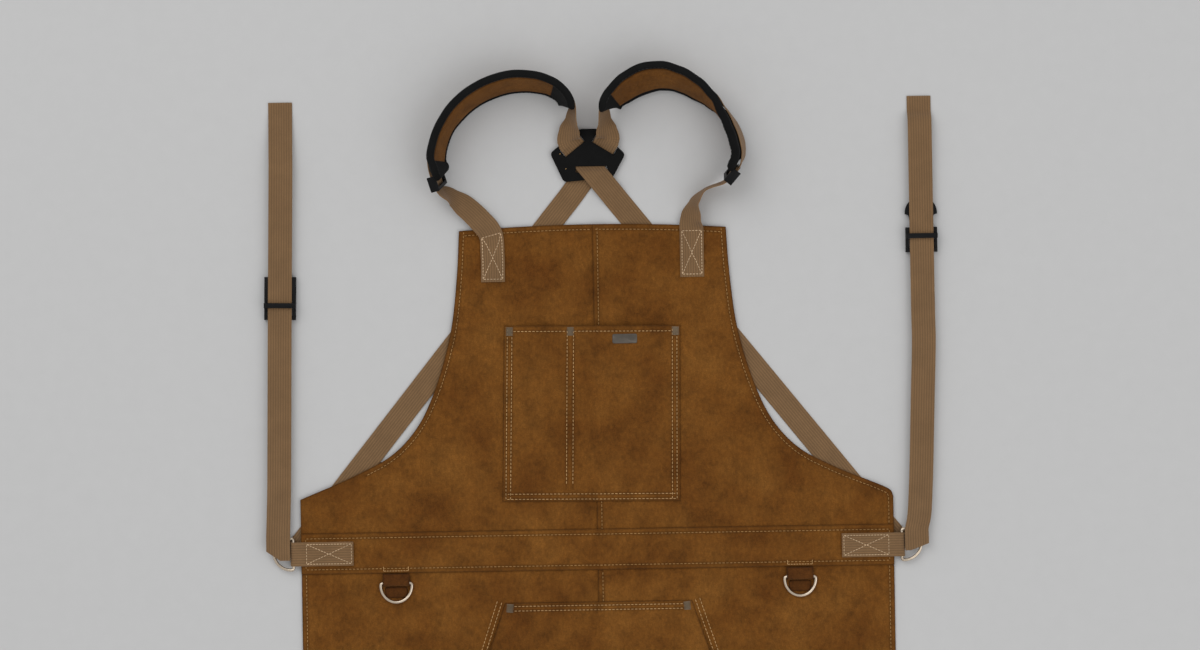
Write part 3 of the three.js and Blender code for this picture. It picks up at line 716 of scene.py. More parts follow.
def moulded(name, source, material, body, radius):
    """A copy of a hard CAD piece with its edges rounded, which stands for it."""
    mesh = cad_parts[source].data.copy()
    bm = bmesh.new()
    bm.from_mesh(mesh)
    bmesh.ops.remove_doubles(bm, verts=bm.verts, dist=1e-6)
    bmesh.ops.dissolve_limit(bm, angle_limit=math.radians(3), verts=bm.verts, edges=bm.edges)
    sharp = [e for e in bm.edges if len(e.link_faces) == 2 and e.calc_face_angle(0) > math.radians(28)]
    bmesh.ops.bevel(
        bm, geom=sharp, offset=radius * MM, offset_type="OFFSET", segments=3, profile=0.5,
        affect="EDGES", clamp_overlap=True,
    )
    bmesh.ops.triangulate(bm, faces=[f for f in bm.faces if len(f.verts) > 4])
    bm.to_mesh(mesh)
    bm.free()
    mesh.materials.clear()
    finish(name, mesh, material, body, [source], 35)


# ---- camera and light ----

VIEW_TURN = math.radians(-0.97)
VIEW_CENTRE = ORIGIN + Vector((6.4, 235.1, 0)) * MM
VIEW_HEIGHT = 3.5
LIGHT_TARGET = Vector((0, 0.2, 0))
camera_data = bpy.data.cameras.new("camera")
camera_data.lens = 100
camera_data.sensor_width = 36
camera = put("camera", camera_data)
camera.location = VIEW_CENTRE + Vector((0, 0, VIEW_HEIGHT))
camera.rotation_euler = (0, 0, VIEW_TURN)
bpy.context.scene.camera = camera


def area_light(name, spot, size, power):
    """A square lamp of a size in metres, turned to the apron."""
    data = bpy.data.lights.new(name, "AREA")
    data.shape = "RECTANGLE"
    data.size = data.size_y = size
    data.energy = power
    made = put(name, data)
    made.location = Vector(spot)
    made.rotation_euler = (LIGHT_TARGET - Vector(spot)).to_track_quat("-Z", "Y").to_euler()


area_light("soft_key", (-1.8, 2.4, 3.2), 3.0, 44)
area_light("soft_fill", (2.4, -1.4, 3.4), 3.4, 38)
world = bpy.data.worlds.new("studio")
world.use_nodes = True
sky = world.node_tree.nodes["Background"].inputs
sky["Color"].default_value = (1, 1, 1, 1)
sky["Strength"].default_value = 0.56
bpy.context.scene.world = world
bpy.context.scene.view_settings.view_transform = "Standard"

FLOOR_HALF = 6
floor_mesh = bpy.data.meshes.new("floor")
floor_corners = [(x * FLOOR_HALF, y * FLOOR_HALF, 0) for x, y in ((-1, -1), (1, -1), (1, 1), (-1, 1))]
floor_mesh.from_pydata(floor_corners, [], [(0, 1, 2, 3)])
floor_mesh.materials.append(plain_material("floor", (0.62,) * 3, 0.9, grain=80, depth=0.0, spread=0.01))
put("floor", floor_mesh)

# ---- panels ----

TOP_ARCH = 5                 # how much higher the bib's top is in its middle
STEP_REACH = 14              # how far from the lap the right panels lie flat again
LEFT_BARE = 24               # how far above the wing the left side's stitches end
SEAM_STITCH = 5.0            # the seam's stitch line, on the right panels
# the armhole, as (distance out from the bib's top corner, share of the rise from the wing)
ARMHOLE = ((0, 1), (3, 0.83), (11, 0.61), (30, 0.385), (48, 0.26), (73, 0.165), (110, 0.092))


def bib_edge(side):
    """The side of the bib from its top corner down the armhole to the foot."""
    rise = BIB_TOP - TOP_ARCH - WING_TOP
    points = [(side * (BIB_HALF_TOP + out), WING_TOP + rise * up) for out, up in ARMHOLE]
    corner = [(-HALF_WIDTH, WING_TOP)]
    if side > 0:
        corner = [
            (HALF_WIDTH - 7.5, WING_TOP + 3), (HALF_WIDTH - 2.2, WING_TOP - 0.6),
            (HALF_WIDTH, WING_TOP - 6.5),
        ]
    return spline([*points, *corner], 5) + [Vector((side * HALF_WIDTH, BIB_FOOT))]


def bib_top_edge(start, end):
    """The bib's slightly arched top, between two distances from the middle."""
    count = 12
    spots = [start + (end - start) * i / count for i in range(count + 1)]
    return [Vector((x, BIB_TOP - TOP_ARCH * (x / BIB_HALF_TOP) ** 2)) for x in spots]


def stepped(under):
    """A right panel's underside, whose inner edge is lifted by the left panel below it."""
    return lambda x, y: under(x, y) + (LEATHER + 0.1) * (1 - smooth(SEAM_LAP, SEAM_LAP + STEP_REACH, x))


def joined(under):
    """The upper side of the left and the right panel."""
    right = stepped(under)
    return lambda x, y: (right(x, y) if x >= 0 else under(x, y)) + LEATHER


def bib_under(x, y):
    ripple = 0.55 * wave(x, y, 95, 1) + 0.25 * wave(x, y, 38, 2)
    return BIB_Z + 0.35 + ripple * smooth(10, 60, y)


def skirt_under(x, y):
    return 0.75 + 0.9 * wave(x, y, 120, 3) * smooth(-20, -80, y) * 0.75 + 0.25 * wave(x, y, 45, 4)


bib_surface = joined(bib_under)
skirt_surface = joined(skirt_under)


def panel(part, name, outline, under, surface, channels, pitch):
    """One leather panel with its stitches."""
    cut_leather(
        f"{part}_{name}_leather", outline, stepped(under) if name == "right" else under, LEATHER,
        channels=channels, replaces=[f"{part}_{name}"], pitch=pitch,
    )
    sew(f"{part}_{name}_stitching", surface, channels, TAN)


for name, side in SIDES:
    inner = 0.0 if side > 0 else float(SEAM_LAP)
    edge = bib_edge(side)
    outline = [(inner, BIB_FOOT), *bib_top_edge(inner, side * BIB_HALF_TOP)[:-1], *edge]
    side_line = offset(edge, STITCH_INSET * -side)
    if side < 0:
        side_line = [p for p in side_line if p.y > WING_TOP + LEFT_BARE]
    top_line = bib_top_edge(side * 2, side * (BIB_HALF_TOP - 5))
    channels = [side_line, [p - Vector((0, STITCH_INSET + 0.5)) for p in top_line]]
    if side > 0:
        channels.append(upright(SEAM_STITCH, BIB_FOOT + 2, BIB_TOP - 3))
    panel("bib", name, outline, bib_under, bib_surface, channels, 8)

    turn = [
        (
            side * (HALF_WIDTH - HEM_CORNER + HEM_CORNER * math.cos(a)),
            HEM + HEM_CORNER - HEM_CORNER * math.sin(a),
        ) for a in np.linspace(0, math.pi / 2, 9)
    ]
    outline = [
        (inner, SKIRT_HEAD), (side * (HALF_WIDTH - 28), SKIRT_HEAD), (side * HALF_WIDTH, SKIRT_HEAD - 16),
        *turn, (inner, HEM),
    ]
    border = [(side * HALF_WIDTH, -BAND_HALF), *turn, (inner, HEM)]
    channels = [offset(resample(border, 6), STITCH_INSET * -side)]
    if side > 0:
        channels.append(upright(SEAM_STITCH, -BAND_HALF - 2, HEM + 3))
    panel("skirt", name, outline, skirt_under, skirt_surface, channels, 9)


def band_under(x, y):
    over_bib = bib_surface(x, max(y, BIB_FOOT + 1)) + 0.12
    over_skirt = skirt_surface(x, y) + 0.25
    blend = smooth(BIB_FOOT - 7, BIB_FOOT + 2, y)
    puff = 0.35 * wave(x, y, 28, 5) * smooth(BAND_HALF, BAND_HALF - 9, abs(y))
    return over_skirt + (over_bib - over_skirt) * blend + max(0.0, puff)


def rectangle(low_x, low_y, high_x, high_y):
    return [(low_x, low_y), (high_x, low_y), (high_x, high_y), (low_x, high_y)]


band_surface = raised(band_under, LEATHER)
band_end = HALF_WIDTH - STITCH_INSET
band_lines = [level(y, -band_end, band_end) for y in (BAND_HALF - 5.5, 5 - BAND_HALF)]
band_lines += [upright(x, 5.5 - BAND_HALF, BAND_HALF - 6) for x in (-band_end, band_end)]
cut_leather(
    "waistband_leather", rectangle(-HALF_WIDTH, -BAND_HALF, HALF_WIDTH, BAND_HALF), band_under, LEATHER,
    channels=band_lines, replaces=["waistband"], pitch=6,
)
sew("waistband_stitching", band_surface, band_lines, TAN)

# ---- pockets ----

CHEST_ROWS = (3.4, 8.2)      # how far a pocket's two rows of stitches lie from its edge
LAP_ROWS = (3.6, 8.4)
SEWN = 9                     # how far in from a sewn edge a pocket is held down
PRESSED = 0.15               # and how close it then lies to the leather below it


def chest_under(x, y):
    """Held down at its sides, foot and divider, and standing open a little along its top."""
    inset = min(x - CHEST_LOW.x, CHEST_HIGH.x - x, y - CHEST_LOW.y)
    held = max(0.0, min(inset - SEWN, abs(x - CHEST_DIVIDER) - 4))
    rise = 3.3 * smooth(0, 42, held) + 1.6 * smooth(0, 22, held) * smooth(CHEST_LOW.y + 60, CHEST_HIGH.y, y)
    ripple = 0.5 * wave(x, y, 34, 6) * smooth(0, 25, held)
    return bib_surface(x, y) + PRESSED + rise + ripple


# how far the pocket's corners lie from the plain rectangle, as it is sewn on a little askew
CHEST_ASKEW = (((-3.8, 0.8), (-1.4, -1.2)), ((0.9, 1.4), (1.4, -0.8)))


def askew(spot):
    """How far a place on the chest pocket moves with the pocket's corners."""
    (foot_left, foot_right), (top_left, top_right) = ([Vector(c) for c in row] for row in CHEST_ASKEW)
    across = (spot.x - CHEST_LOW.x) / (CHEST_HIGH.x - CHEST_LOW.x)
    up = (spot.y - CHEST_LOW.y) / (CHEST_HIGH.y - CHEST_LOW.y)
    return (*foot_left.lerp(foot_right, across).lerp(top_left.lerp(top_right, across), up), 0)


chest_surface = raised(chest_under, POCKET_LEATHER)
left, foot, _ = CHEST_LOW
right, top, _ = CHEST_HIGH
sides = [left + d for d in CHEST_ROWS] + [right - d for d in CHEST_ROWS]
chest_lines = [upright(x, foot + 2, top - 3) for x in sides]
chest_lines += [upright(x, foot + 18, top - 5) for x in (CHEST_DIVIDER - 3, CHEST_DIVIDER + 3.6)]
chest_lines += [level(y, left + 4, right - 4) for y in (foot + 2.6, foot + 8)]
chest_lines += [level(top - 6, left + SEWN, right - SEWN)]
chest_front = cut_leather(
    "chest_pocket_leather", rectangle(left, foot, right, top), chest_under, POCKET_LEATHER,
    channels=chest_lines, replaces=["chest_pocket"],
    pitch=6,
)
shift_each(chest_front, askew)
shift_each(sew("chest_pocket_stitching", chest_surface, chest_lines, CREAM), askew)

LAP_FOOT = LAP_LOW.y
LAP_HALF, LAP_TOP, _ = LAP_HIGH
LAP_KNEE = LAP_TOP - LAP_SLANT


def lap_under(x, y):
    """Held down along its top, foot and lower sides, with both slanted edges standing open."""
    half = LAP_HALF_TOP + (LAP_HALF - LAP_HALF_TOP) * min(1.0, (LAP_TOP - y) / LAP_SLANT)
    to_side = half - abs(x) - SEWN
    if y >= LAP_KNEE:
        to_side = max(0.0, to_side) + (y - LAP_KNEE) * 0.8
    held = min(LAP_TOP - y - SEWN, y - LAP_FOOT - SEWN, to_side)
    rise = 5.0 * smooth(0, 62, max(0.0, held))
    ripple = 0.7 * wave(x, y, 46, 8) * smooth(0, 25, held)
    return skirt_surface(x, y) + PRESSED + max(0.0, rise + ripple)


lap_surface = raised(lap_under, POCKET_LEATHER)
lap_outline = [
    (LAP_HALF_TOP, LAP_TOP), (-LAP_HALF_TOP, LAP_TOP), (-LAP_HALF, LAP_KNEE),
    (-LAP_HALF, LAP_FOOT), (LAP_HALF, LAP_FOOT), (LAP_HALF, LAP_KNEE),
]
lap_lines = []
for side in (-1, 1):
    slant = [(side * LAP_HALF_TOP, LAP_TOP), (side * LAP_HALF, LAP_KNEE)]
    lap_lines += [offset(slant, side * d) for d in LAP_ROWS]
    lap_lines += [upright(side * (LAP_HALF - d), LAP_FOOT + 4, LAP_KNEE) for d in LAP_ROWS]
lap_lines += [level(LAP_FOOT + d, LAP_ROWS[0] - LAP_HALF, LAP_HALF - LAP_ROWS[0]) for d in LAP_ROWS]
lap_lines += [level(LAP_TOP - d, SEWN - LAP_HALF_TOP, LAP_HALF_TOP - SEWN) for d in LAP_ROWS]
cut_leather(
    "lap_pocket_leather", lap_outline, lap_under, POCKET_LEATHER, channels=lap_lines,
    replaces=["lap_pocket"], pitch=7,
)
sew("lap_pocket_stitching", lap_surface, lap_lines, CREAM)

TACK_HALF = 4.0              # half of a bar tack's side
TACK_ROWS = 9


def bar_tacks(name, surface, places):
    """Dense squares of thread, each as short lines side by side, at (x, y, turn)."""
    lines = []
    for x, y, turn in places:
        for v in np.linspace(-TACK_HALF, TACK_HALF, TACK_ROWS):
            ends = (Vector((-TACK_HALF, v)), Vector((TACK_HALF, v)))
            lines.append([Vector((x, y)) + Matrix.Rotation(turn, 2) @ end for end in ends])
    return sew(name, surface, lines, GREY_THREAD, -0.05, pitch=8.0, length=7.8, radius=0.45, arch=0.15)


chest_tacks = bar_tacks(
    "chest_bar_tacks", chest_surface, [(x, top - 6, 0) for x in (left + 5.5, CHEST_DIVIDER + 0.3, right - 5)],
)
shift_each(chest_tacks, askew)
lap_tacks = [(side * (LAP_HALF_TOP - 5), LAP_TOP - 5.5, side * 0.1) for side in (-1, 1)]
bar_tacks("lap_bar_tacks", lap_surface, lap_tacks)

# the plain plate on the chest pocket, with rounded corners and a bevelled rim
PLATE_RINGS = ((0.0, 0.0), (0.0, 0.55), (0.25, 0.8), (1.1, 0.86), (1.5, 0.66))     # distance in, height
PLATE_CORNER = 2.0
CORNER_STEPS = 6
plate_middle = (LABEL_LOW + LABEL_HIGH) / 2
plate_half = (LABEL_HIGH - LABEL_LOW) / 2
plate_base = max(
    chest_surface(plate_middle.x + dx, plate_middle.y + dy) for dx in (-12, 0, 12) for dy in (-4, 4)
) - 0.25
plate = []
for inset, height in PLATE_RINGS:
    for quarter, (sign_x, sign_y) in enumerate(((1, 1), (-1, 1), (-1, -1), (1, -1))):
        for i in range(CORNER_STEPS + 1):
            angle = math.pi / 2 * (quarter + i / CORNER_STEPS)
            r = max(0.2, PLATE_CORNER - inset)
            x = sign_x * (plate_half.x - PLATE_CORNER) + r * math.cos(angle)
            y = sign_y * (plate_half.y - PLATE_CORNER) + r * math.sin(angle)
            plate.append((plate_middle.x + x, plate_middle.y + y, plate_base + height))
add_piece(
    "pocket_label_plate", plate, capped_faces(len(PLATE_RINGS), 4 * (CORNER_STEPS + 1)), LABEL_METAL,
    replaces=["pocket_label"], sharp=30,
)

# ---- harness ----

LAP_GAP = 0.2                # half of the gap between a strap's two layers, which share a route
UNDER = (-LAP_GAP - WEB_THICK, -LAP_GAP)
OVER = (LAP_GAP, LAP_GAP + WEB_THICK)
PAD_HALF = 25.0
PAD_START = 0.5              # from a strap's middle to the back of its pad
PAD_CROWN = 10.6             # and to the crown of the pad's face
SLIDER_UNDER = LAP_GAP + WEB_THICK + 0.9 + 2.2
SLIDER_HALF = WEB_HALF + 3.2


def pad_lift(roll):
    """Height of a pad's route that stands it just on the floor, whichever of its edges is lowest."""
    angle = math.radians(roll)
    lean = math.cos(angle)
    return PAD_HALF * math.sin(angle) + max(-PAD_START * lean, -PAD_CROWN * lean) + 0.2


def web_lift(roll):
    angle = math.radians(roll)
    return WEB_HALF * math.sin(angle) + (WEB_THICK + GAP) * math.cos(angle) + 0.2


def slider_lift(roll):
    angle = math.radians(roll)
    return SLIDER_HALF * math.sin(angle) + SLIDER_UNDER * math.cos(angle) + 0.6


def stood(lift, *rows):
    """A route's points that stand on an edge by `lift`, from rows of x, y, roll and a height on top."""
    return [(x, y, lift(roll) + sum(more), roll) for x, y, roll, *more in rows]


FLOOR_Z = WEB_THICK + LAP_GAP + 0.2
CROSS_Z = FLOOR_Z + WEB_THICK + GAP
OVER_YOKE = YOKE_Z + LEATHER + GAP + WEB_THICK + LAP_GAP + 0.2
BIB_WEB_Z = BIB_Z + LEATHER + GAP - LAP_GAP
YOKE_Y = 399
RIGHT_SLIT = (14.5, 424, math.radians(-32))
CROSS_END = (HALF_WIDTH + 11, -4.5)
cross_run = Vector((CROSS_END[0], CROSS_END[1] - YOKE_Y)).normalized()
cross_length = math.hypot(CROSS_END[0], CROSS_END[1] - YOKE_Y)


def crossing(side, *rows):
    """Points of the long run across the back, from rows of distance past the yoke and height."""
    return [(side * cross_run.x * d, YOKE_Y + cross_run.y * d, z, 0) for d, z in rows]


def through_right_slit(*rows):
    x, y, turn = RIGHT_SLIT
    return [(x + d * math.sin(turn), y - d * math.cos(turn), z, 0) for d, z in rows]


left_harness = Route([
    (-105, 282, BIB_WEB_Z, 0), (-105, 310, BIB_WEB_Z + 0.3, 0), (-107, 333, BIB_WEB_Z + 1.2, 0),
    *stood(web_lift, (-117, 346, 8, 3.5), (-132, 360.5, 18, 1), (-147, 371, 46)),
    *stood(slider_lift, (-158, 378, 72, 2.6), (-161, 388, 72, 5), (-164, 398, 72, 7.4)),
    *stood(
        pad_lift, (-166, 411, 75, 0.3), (-164, 425, 76), (-156, 446, 76), (-141.5, 465, 73),
        (-124.5, 479, 72), (-104, 489, 71), (-82, 494.5, 71), (-58, 494, 73), (-39, 488.5, 76),
        (-25, 478, 79),
    ),
    (-19, 464, pad_lift(79) - 0.5, 78), (-20.5, 450, 17, 60), (-22.5, 438.5, 13, 30),
    *crossing(
        1, (-36, OVER_YOKE), (-32.8, OVER_YOKE - 1), (-29.8, CROSS_Z + 0.6), (-26.5, CROSS_Z), (-4, CROSS_Z),
        (-1, CROSS_Z + 0.6), (2, OVER_YOKE - 1), (4.5, OVER_YOKE), (26, OVER_YOKE), (37, OVER_YOKE - 3),
        (47, FLOOR_Z + 0.4), (58, FLOOR_Z), (80, FLOOR_Z), (cross_length * 0.5, FLOOR_Z),
        (cross_length, FLOOR_Z),
    ),
], 1)
right_harness = Route([
    (104, 284, BIB_WEB_Z, 0), (104, 312, BIB_WEB_Z + 0.3, 0), (104, 332, BIB_WEB_Z + 1.6, 0),
    *stood(web_lift, (104, 347, 34, 3), (108, 362, 68), (119, 374, 84)),
    *stood(slider_lift, (140, 382.5, 82, 3.2), (147, 390.5, 82, 5.6)), (154, 398.5, slider_lift(82) + 8, 89),
    *stood(
        pad_lift, (158, 410, 100), (157, 424, 104), (152, 439, 103), (142.5, 455.5, 96), (129.5, 471, 82),
        (112, 484.5, 72), (94, 494, 67), (75, 498, 61), (55, 495, 57), (36, 486, 60), (22, 475, 68),
    ),
    (15.5, 463, pad_lift(70) - 0.3, 69), (15.5, 450, 17, 58), (17, 438.5, 13, 28),
    *through_right_slit(
        (-6, OVER_YOKE), (-3, OVER_YOKE - 0.7), (2.2, FLOOR_Z + 1.2), (6, FLOOR_Z + 0.2), (12, FLOOR_Z),
    ),
    *crossing(-1, *((d, FLOOR_Z) for d in (30, 70, cross_length * 0.5, cross_length))),
], -1)

PAD_CORNER = 7.0
PAD_RIM = 6.2                # width of the black binding seen from the face
RIM_LAP = 0.4                # how far the face reaches over the binding
PAD_EDGE = 3.2               # how far in from its edge a pad is rounded over
PAD_ROW = 3.6                # and how far in its stitches are
# a pad's first and last stations, as distances from its end, and its places across
PAD_ENDS = [0.0, 0.2, 0.6, 1.2, 2.0, 2.8, 3.6, 4.6, 5.6, 7.0, 9.0, 11.0, 12.2, 12.6]
PAD_SPREAD = [-1, -0.99, -0.965, -0.93, -0.88, -0.82, -0.78, -0.765, -0.7, -0.6, -0.45, -0.3, -0.15]
PAD_SPREAD = PAD_SPREAD + [0] + [-f for f in reversed(PAD_SPREAD)]


def pad_stations(route, first, last):
    """Stations along a pad, closer together at its round ends, with its half width at each."""
    fine = route.stations(route.at(first), route.at(last), 0.5)
    long = fine[-1][4]
    made = []
    for s in [*PAD_ENDS, *np.arange(14.5, long - 13.5, 2.4), *(long - s for s in reversed(PAD_ENDS))]:
        station = min(fine, key=lambda f: abs(f[4] - s))
        short = max(0.0, PAD_CORNER - min(s, long - s))
        half = PAD_HALF - PAD_CORNER + math.sqrt(max(0.0, PAD_CORNER ** 2 - short ** 2))
        made.append((*station[:3], half * (0.8 + 0.2 * smooth(0, 26, s)), s))
    return made


def over_slider(s):
    """How far a pad's lower end stands off the webbing, because it lies over the slider."""
    return 2.2 * (1 - smooth(10, 20, s))


def pad_inner(depth, s, w):
    """Height of the face's side: a rounded rim, a stitched-in groove and then a soft crown."""
    rim = 8.9 - 5.0 * (1 - min(1.0, depth / 3.2)) ** 2.4
    groove = 0.9 * math.exp(-(((depth - PAD_RIM) / 0.9) ** 2))
    crown = 1.4 * smooth(PAD_RIM, 19, depth)
    dents = 0.35 * wave(s, w, 16, 9) * smooth(PAD_RIM + 1, 14, depth)
    return rim - groove + crown + dents


def shell_section(shares):
    """The black shell's section; `shares` shrink its length past its ends' rounding to widen the rim."""
    def section(w, s, half, long):
        depth = half - abs(w)
        for end, share in zip((s + 0.3, long - s + 0.3), shares):
            depth = min(depth, min(end, PAD_EDGE) + max(0.0, end - PAD_EDGE) * share)
        depth = max(0.0, depth)
        sunk = 0.9 * smooth(PAD_RIM - 0.1, PAD_RIM + 0.5, depth)
        low = PAD_START + 3.0 * (1 - min(1.0, depth / 4.5)) ** 2.2
        return low + over_slider(s), pad_inner(depth, s, w) - sunk + over_slider(s)
    return section


def face_section(shares, first):
    """The face's section; its first station lies `first` from the pad's lower end."""
    def section(w, s, half, long):
        rim = PAD_RIM - RIM_LAP
        edge = min(half - abs(w), s, long - s)
        depth = min(half - abs(w) + rim, rim + shares[0] * s, rim + shares[1] * (long - s))
        high = pad_inner(depth, s, w) + over_slider(s + first)
        return high - 0.75, high - 0.3 * (1 - min(1.0, edge / 0.8))
    return section


def edge_shade(share, reach):
    """Darkens a strip along all of its edges with painted shade."""
    return lambda w, s, half, long: share * (1 - smooth(0, reach, min(half - abs(w), s, long - s)))


def shoulder_pad(name, route, first, last, caps):
    """A pad between two of its route's points; `caps` gives the length of its black ends."""
    stations = pad_stations(route, first, last)
    long = stations[-1][4]
    shares = [(PAD_RIM - PAD_EDGE) / (cap - PAD_EDGE) for cap in caps]
    shell = ribbon(
        f"pad_{name}_shell", stations, shell_section(shares), BLACK_LEATHER,
        spread=PAD_SPREAD, replaces=[f"pad_back_{name}", f"pad_binding_{name}", f"pad_foam_{name}"],
    )
    low, high = (PAD_EDGE + (PAD_RIM - RIM_LAP - PAD_EDGE) / share for share in shares)
    shown = [
        (*station, half - PAD_RIM + RIM_LAP, max(s - low, 0.0)) for *station, half, s in stations
        if low - 0.01 <= s <= long - high + 0.01
    ]
    # the face gets painted shade along its edges, where it meets the black binding
    face = ribbon(
        f"pad_{name}_face", shown, face_section(shares, low), PAD_SUEDE,
        spread=PAD_SPREAD, replaces=[f"pad_face_{name}"], shade=edge_shade(0.75, 2.5),
    )
    rows = [
        [
            here + across * edge * (half - PAD_ROW)
            + normal * (pad_inner(PAD_ROW, s, edge * (half - PAD_ROW)) + over_slider(s) + 0.02)
            for here, across, normal, half, s in stations if 4 < s < long - 4
        ] for edge in (-1, 1)
    ]
    stitches(f"pad_{name}_stitching", rows, BLACK_THREAD, radius=0.3, arch=0.15)


# each side's route, its pad's ends and its slider, by the route's points, and the pad's black ends
HARNESSES = (
    ("left", left_harness, (7.35, 19.0), (17.0, 30.0), 7.05),
    ("right", right_harness, (7.3, 20.1), (15.0, 13.0), 7.0),
)
for name, route, pad, caps, slider in HARNESSES:
    slot_t = route.at(slider)
    webbing(
        f"bib_strap_{name}_webbing", route.stations(0, slot_t + route.at(1)), *OVER,
        replaces=[f"bib_strap_{name}"], rests_on=[f"bib_{name}_leather"], held="stretched",
    )
    webbing(
        f"harness_{name}_webbing", route.stations(slot_t - route.at(0.7), 1), *UNDER,
        replaces=[f"harness_strap_{name}"], rests_on=["floor"], held="stretched",
    )
    moulded(f"slider_{name}_moulding", f"slider_{name}", PLASTIC, "root", 0.55)
    shoulder_pad(name, route, *pad, caps)

BOX_INSET = 2.2              # from a strap's end and edges to the box of stitches


def sew_box(name, route, start, end, height, radius):
    """Sews a strap's end down with a square and a cross on the strap."""
    stations = route.stations(0, 1, 1.0)
    a, b, w = start + BOX_INSET, end - BOX_INSET, WEB_HALF - BOX_INSET
    corners = rectangle(a, -w, b, w)
    lines = []
    for i, j in ((0, 1), (1, 2), (2, 3), (3, 0), (0, 2), (1, 3)):
        (s_a, w_a), (s_b, w_b) = corners[i], corners[j]
        count = max(2, round(math.hypot(s_b - s_a, w_b - w_a) / 2.5))
        line = []
        for k in range(count + 1):
            s = s_a + (s_b - s_a) * k / count
            here, across, normal, _, _ = min(stations, key=lambda f: abs(f[4] - s))
            line.append(here + across * (w_a + (w_b - w_a) * k / count) + normal * height)
        lines.append(line)
    stitches(name, lines, PALE, pitch=3.2, length=2.5, radius=radius)


for name, route, *_ in HARNESSES:
    sew_box(f"bib_strap_{name}_stitching", route, 0.5, 51, OVER[1] - 0.05, 0.4)

# ---- yoke ----


def slit(x, y, turn, half_w=13.3, half_h=4.2):
    corners = rectangle(-half_w, -half_h, half_w, half_h)
    return [Matrix.Rotation(turn, 2) @ Vector(c) + Vector((x, y)) for c in corners]


CORNER_CUT = 4


def rounded(corners):
    """A polygon with each corner cut by a curve like an arc."""
    made = []
    spots = [Vector(c) for c in corners]
    for i, p in enumerate(spots):
        before, after = spots[i - 1], spots[(i + 1) % len(spots)]
        a = p + (before - p).normalized() * CORNER_CUT
        b = p + (after - p).normalized() * CORNER_CUT
        made += [a.lerp(p, t).lerp(p.lerp(b, t), t) for t in (0, 0.25, 0.5, 0.75, 1)]
    return made


(first_x, first_y, *_), (second_x, second_y, *_) = crossing(1, (-31, 0), (0.5, 0))
yoke_outline = rounded([
    (-29, YOKE_Y - 13.5), (22.5, YOKE_Y - 9.5), (36, YOKE_Y + 15),
    (7.5, YOKE_Y + 42), (-12, YOKE_Y + 42), (-43, YOKE_Y + 17),
])
yoke_slits = [
    slit(first_x, first_y, math.atan2(cross_run.x, -cross_run.y)), slit(*RIGHT_SLIT),
    slit(second_x, second_y, 0, half_w=16.6, half_h=3.2),
]
cut_leather(
    "yoke_leather", yoke_outline, lambda x, y: YOKE_Z + 0.15 * wave(x, y, 20, 11), LEATHER,
    material=BLACK_LEATHER, holes=yoke_slits, replaces=["yoke"],
    pitch=3.5,
)
KNOTS = ((-33.2, 414.8), (-27.4, 399))
knots = [[(x + d, y + d / 2, YOKE_Z + LEATHER + 0.1) for d in (0, 1.5)] for x, y in KNOTS]
stitches("yoke_knots", knots, CREAM, pitch=1.8, length=1.4, radius=0.4)


def slant_at_slit(spot):
    """Turns the webbing's crossing with the yoke's level slit level too."""
    beside = Vector((-cross_run.y, cross_run.x))
    spot = spot.to_2d() - Vector((0, YOKE_Y))
    along, out = spot.dot(cross_run), spot.dot(beside)
    if not (-26 < along < 44 and abs(out) < 14):
        return (0, 0, 0)
    share = smooth(-26, -6, along) * (1 - smooth(7, 44, along))
    return (*(cross_run * (beside.y / -cross_run.y) * out * share), 0)


shift_each(bpy.data.objects["harness_left_webbing"], slant_at_slit)

# ---- waist tabs, rings and tool loops ----

ring_low, ring_high = local_box("tool_ring_left")
TOOL_RING_Z = (ring_low.z + ring_high.z) / 2
WIRE = (ring_high.z - ring_low.z) / 2
WAIST_RING_Z = sum(corner.z for corner in local_box("waist_ring_left")) / 2
WAIST_BAR = HALF_WIDTH + 8
TOOL_BAR = -32
TOOL_X = 211.8
TOOL_HALF = 14               # half the width of a tool ring's loop
TACK_OUT = 13                # how far aside its tacks are
RING_HALF = 16.4
RING_DEPTH = 20
RING_CORNER = 2
TAB_INNER = HALF_WIDTH - 55
TAB_FLAT = HALF_WIDTH - 7
TAB_THICK = 1.3
LOOP_THICK = 1.25
UP = Vector((0, 0, 1))


def ring_points(centre, turn):
    """The middle line of a D ring whose bar lies at `centre`, turned about Z."""
    w, c = RING_HALF, RING_CORNER
    line = [(-(w - c) + (w - c) * 2 * i / 10, 0) for i in range(10)]
    line += [(w - c + c * math.cos(a), -c + c * math.sin(a)) for a in np.linspace(math.pi / 2, 0, 6)]
    bow = np.linspace(0, math.pi, 48)[1:-1]
    line += [(w * math.cos(a), -c - (RING_DEPTH - c) * math.sin(a)) for a in bow]
    line += [(-(w - c) - c * math.cos(a), -c + c * math.sin(a)) for a in np.linspace(0, math.pi / 2, 6)]
    spots = resample(line, 1.2, closed=True)
    return [Vector((*(Matrix.Rotation(turn, 2) @ p), 0)) + Vector(centre) for p in spots]


def fold_ribbon(name, fold, out, base, half, thick, material, slot, replaces):
    """A strip folded in an upright plane: `fold` gives its middle line as (distance out, height)."""
    line = spline(fold, 1.0)
    run = run_along(line)
    across = Vector((abs(out.y), abs(out.x), 0))
    stations = []
    for i, p in enumerate(line):
        along = (line[min(i + 1, len(line) - 1)] - line[max(i - 1, 0)]).normalized()
        normal = UP * along.x - out * along.y
        stations.append((base + out * p.x + UP * p.y, across, normal, half, run[i]))
    # leather gets painted shade along its edges, webbing in its rib grooves
    section, shade, spread = leather_section(thick), edge_shade(0.6, 2.2), LEATHER_SPREAD
    if slot == "webbing":
        section, shade, spread = web_section(-thick / 2, thick / 2), web_shade, web_spread(half)
    made = ribbon(name, stations, section, material, "root", [replaces], shade, spread)


def leather_section(thick):
    def section(w, s, half, long):
        edge = min(1.0, (half - abs(w)) / 0.6, min(s, long - s) / 0.6 + 0.3)
        short = thick * 0.5 * (0.55 + 0.45 * math.sqrt(max(0.0, edge)))
        return -short, short
    return section


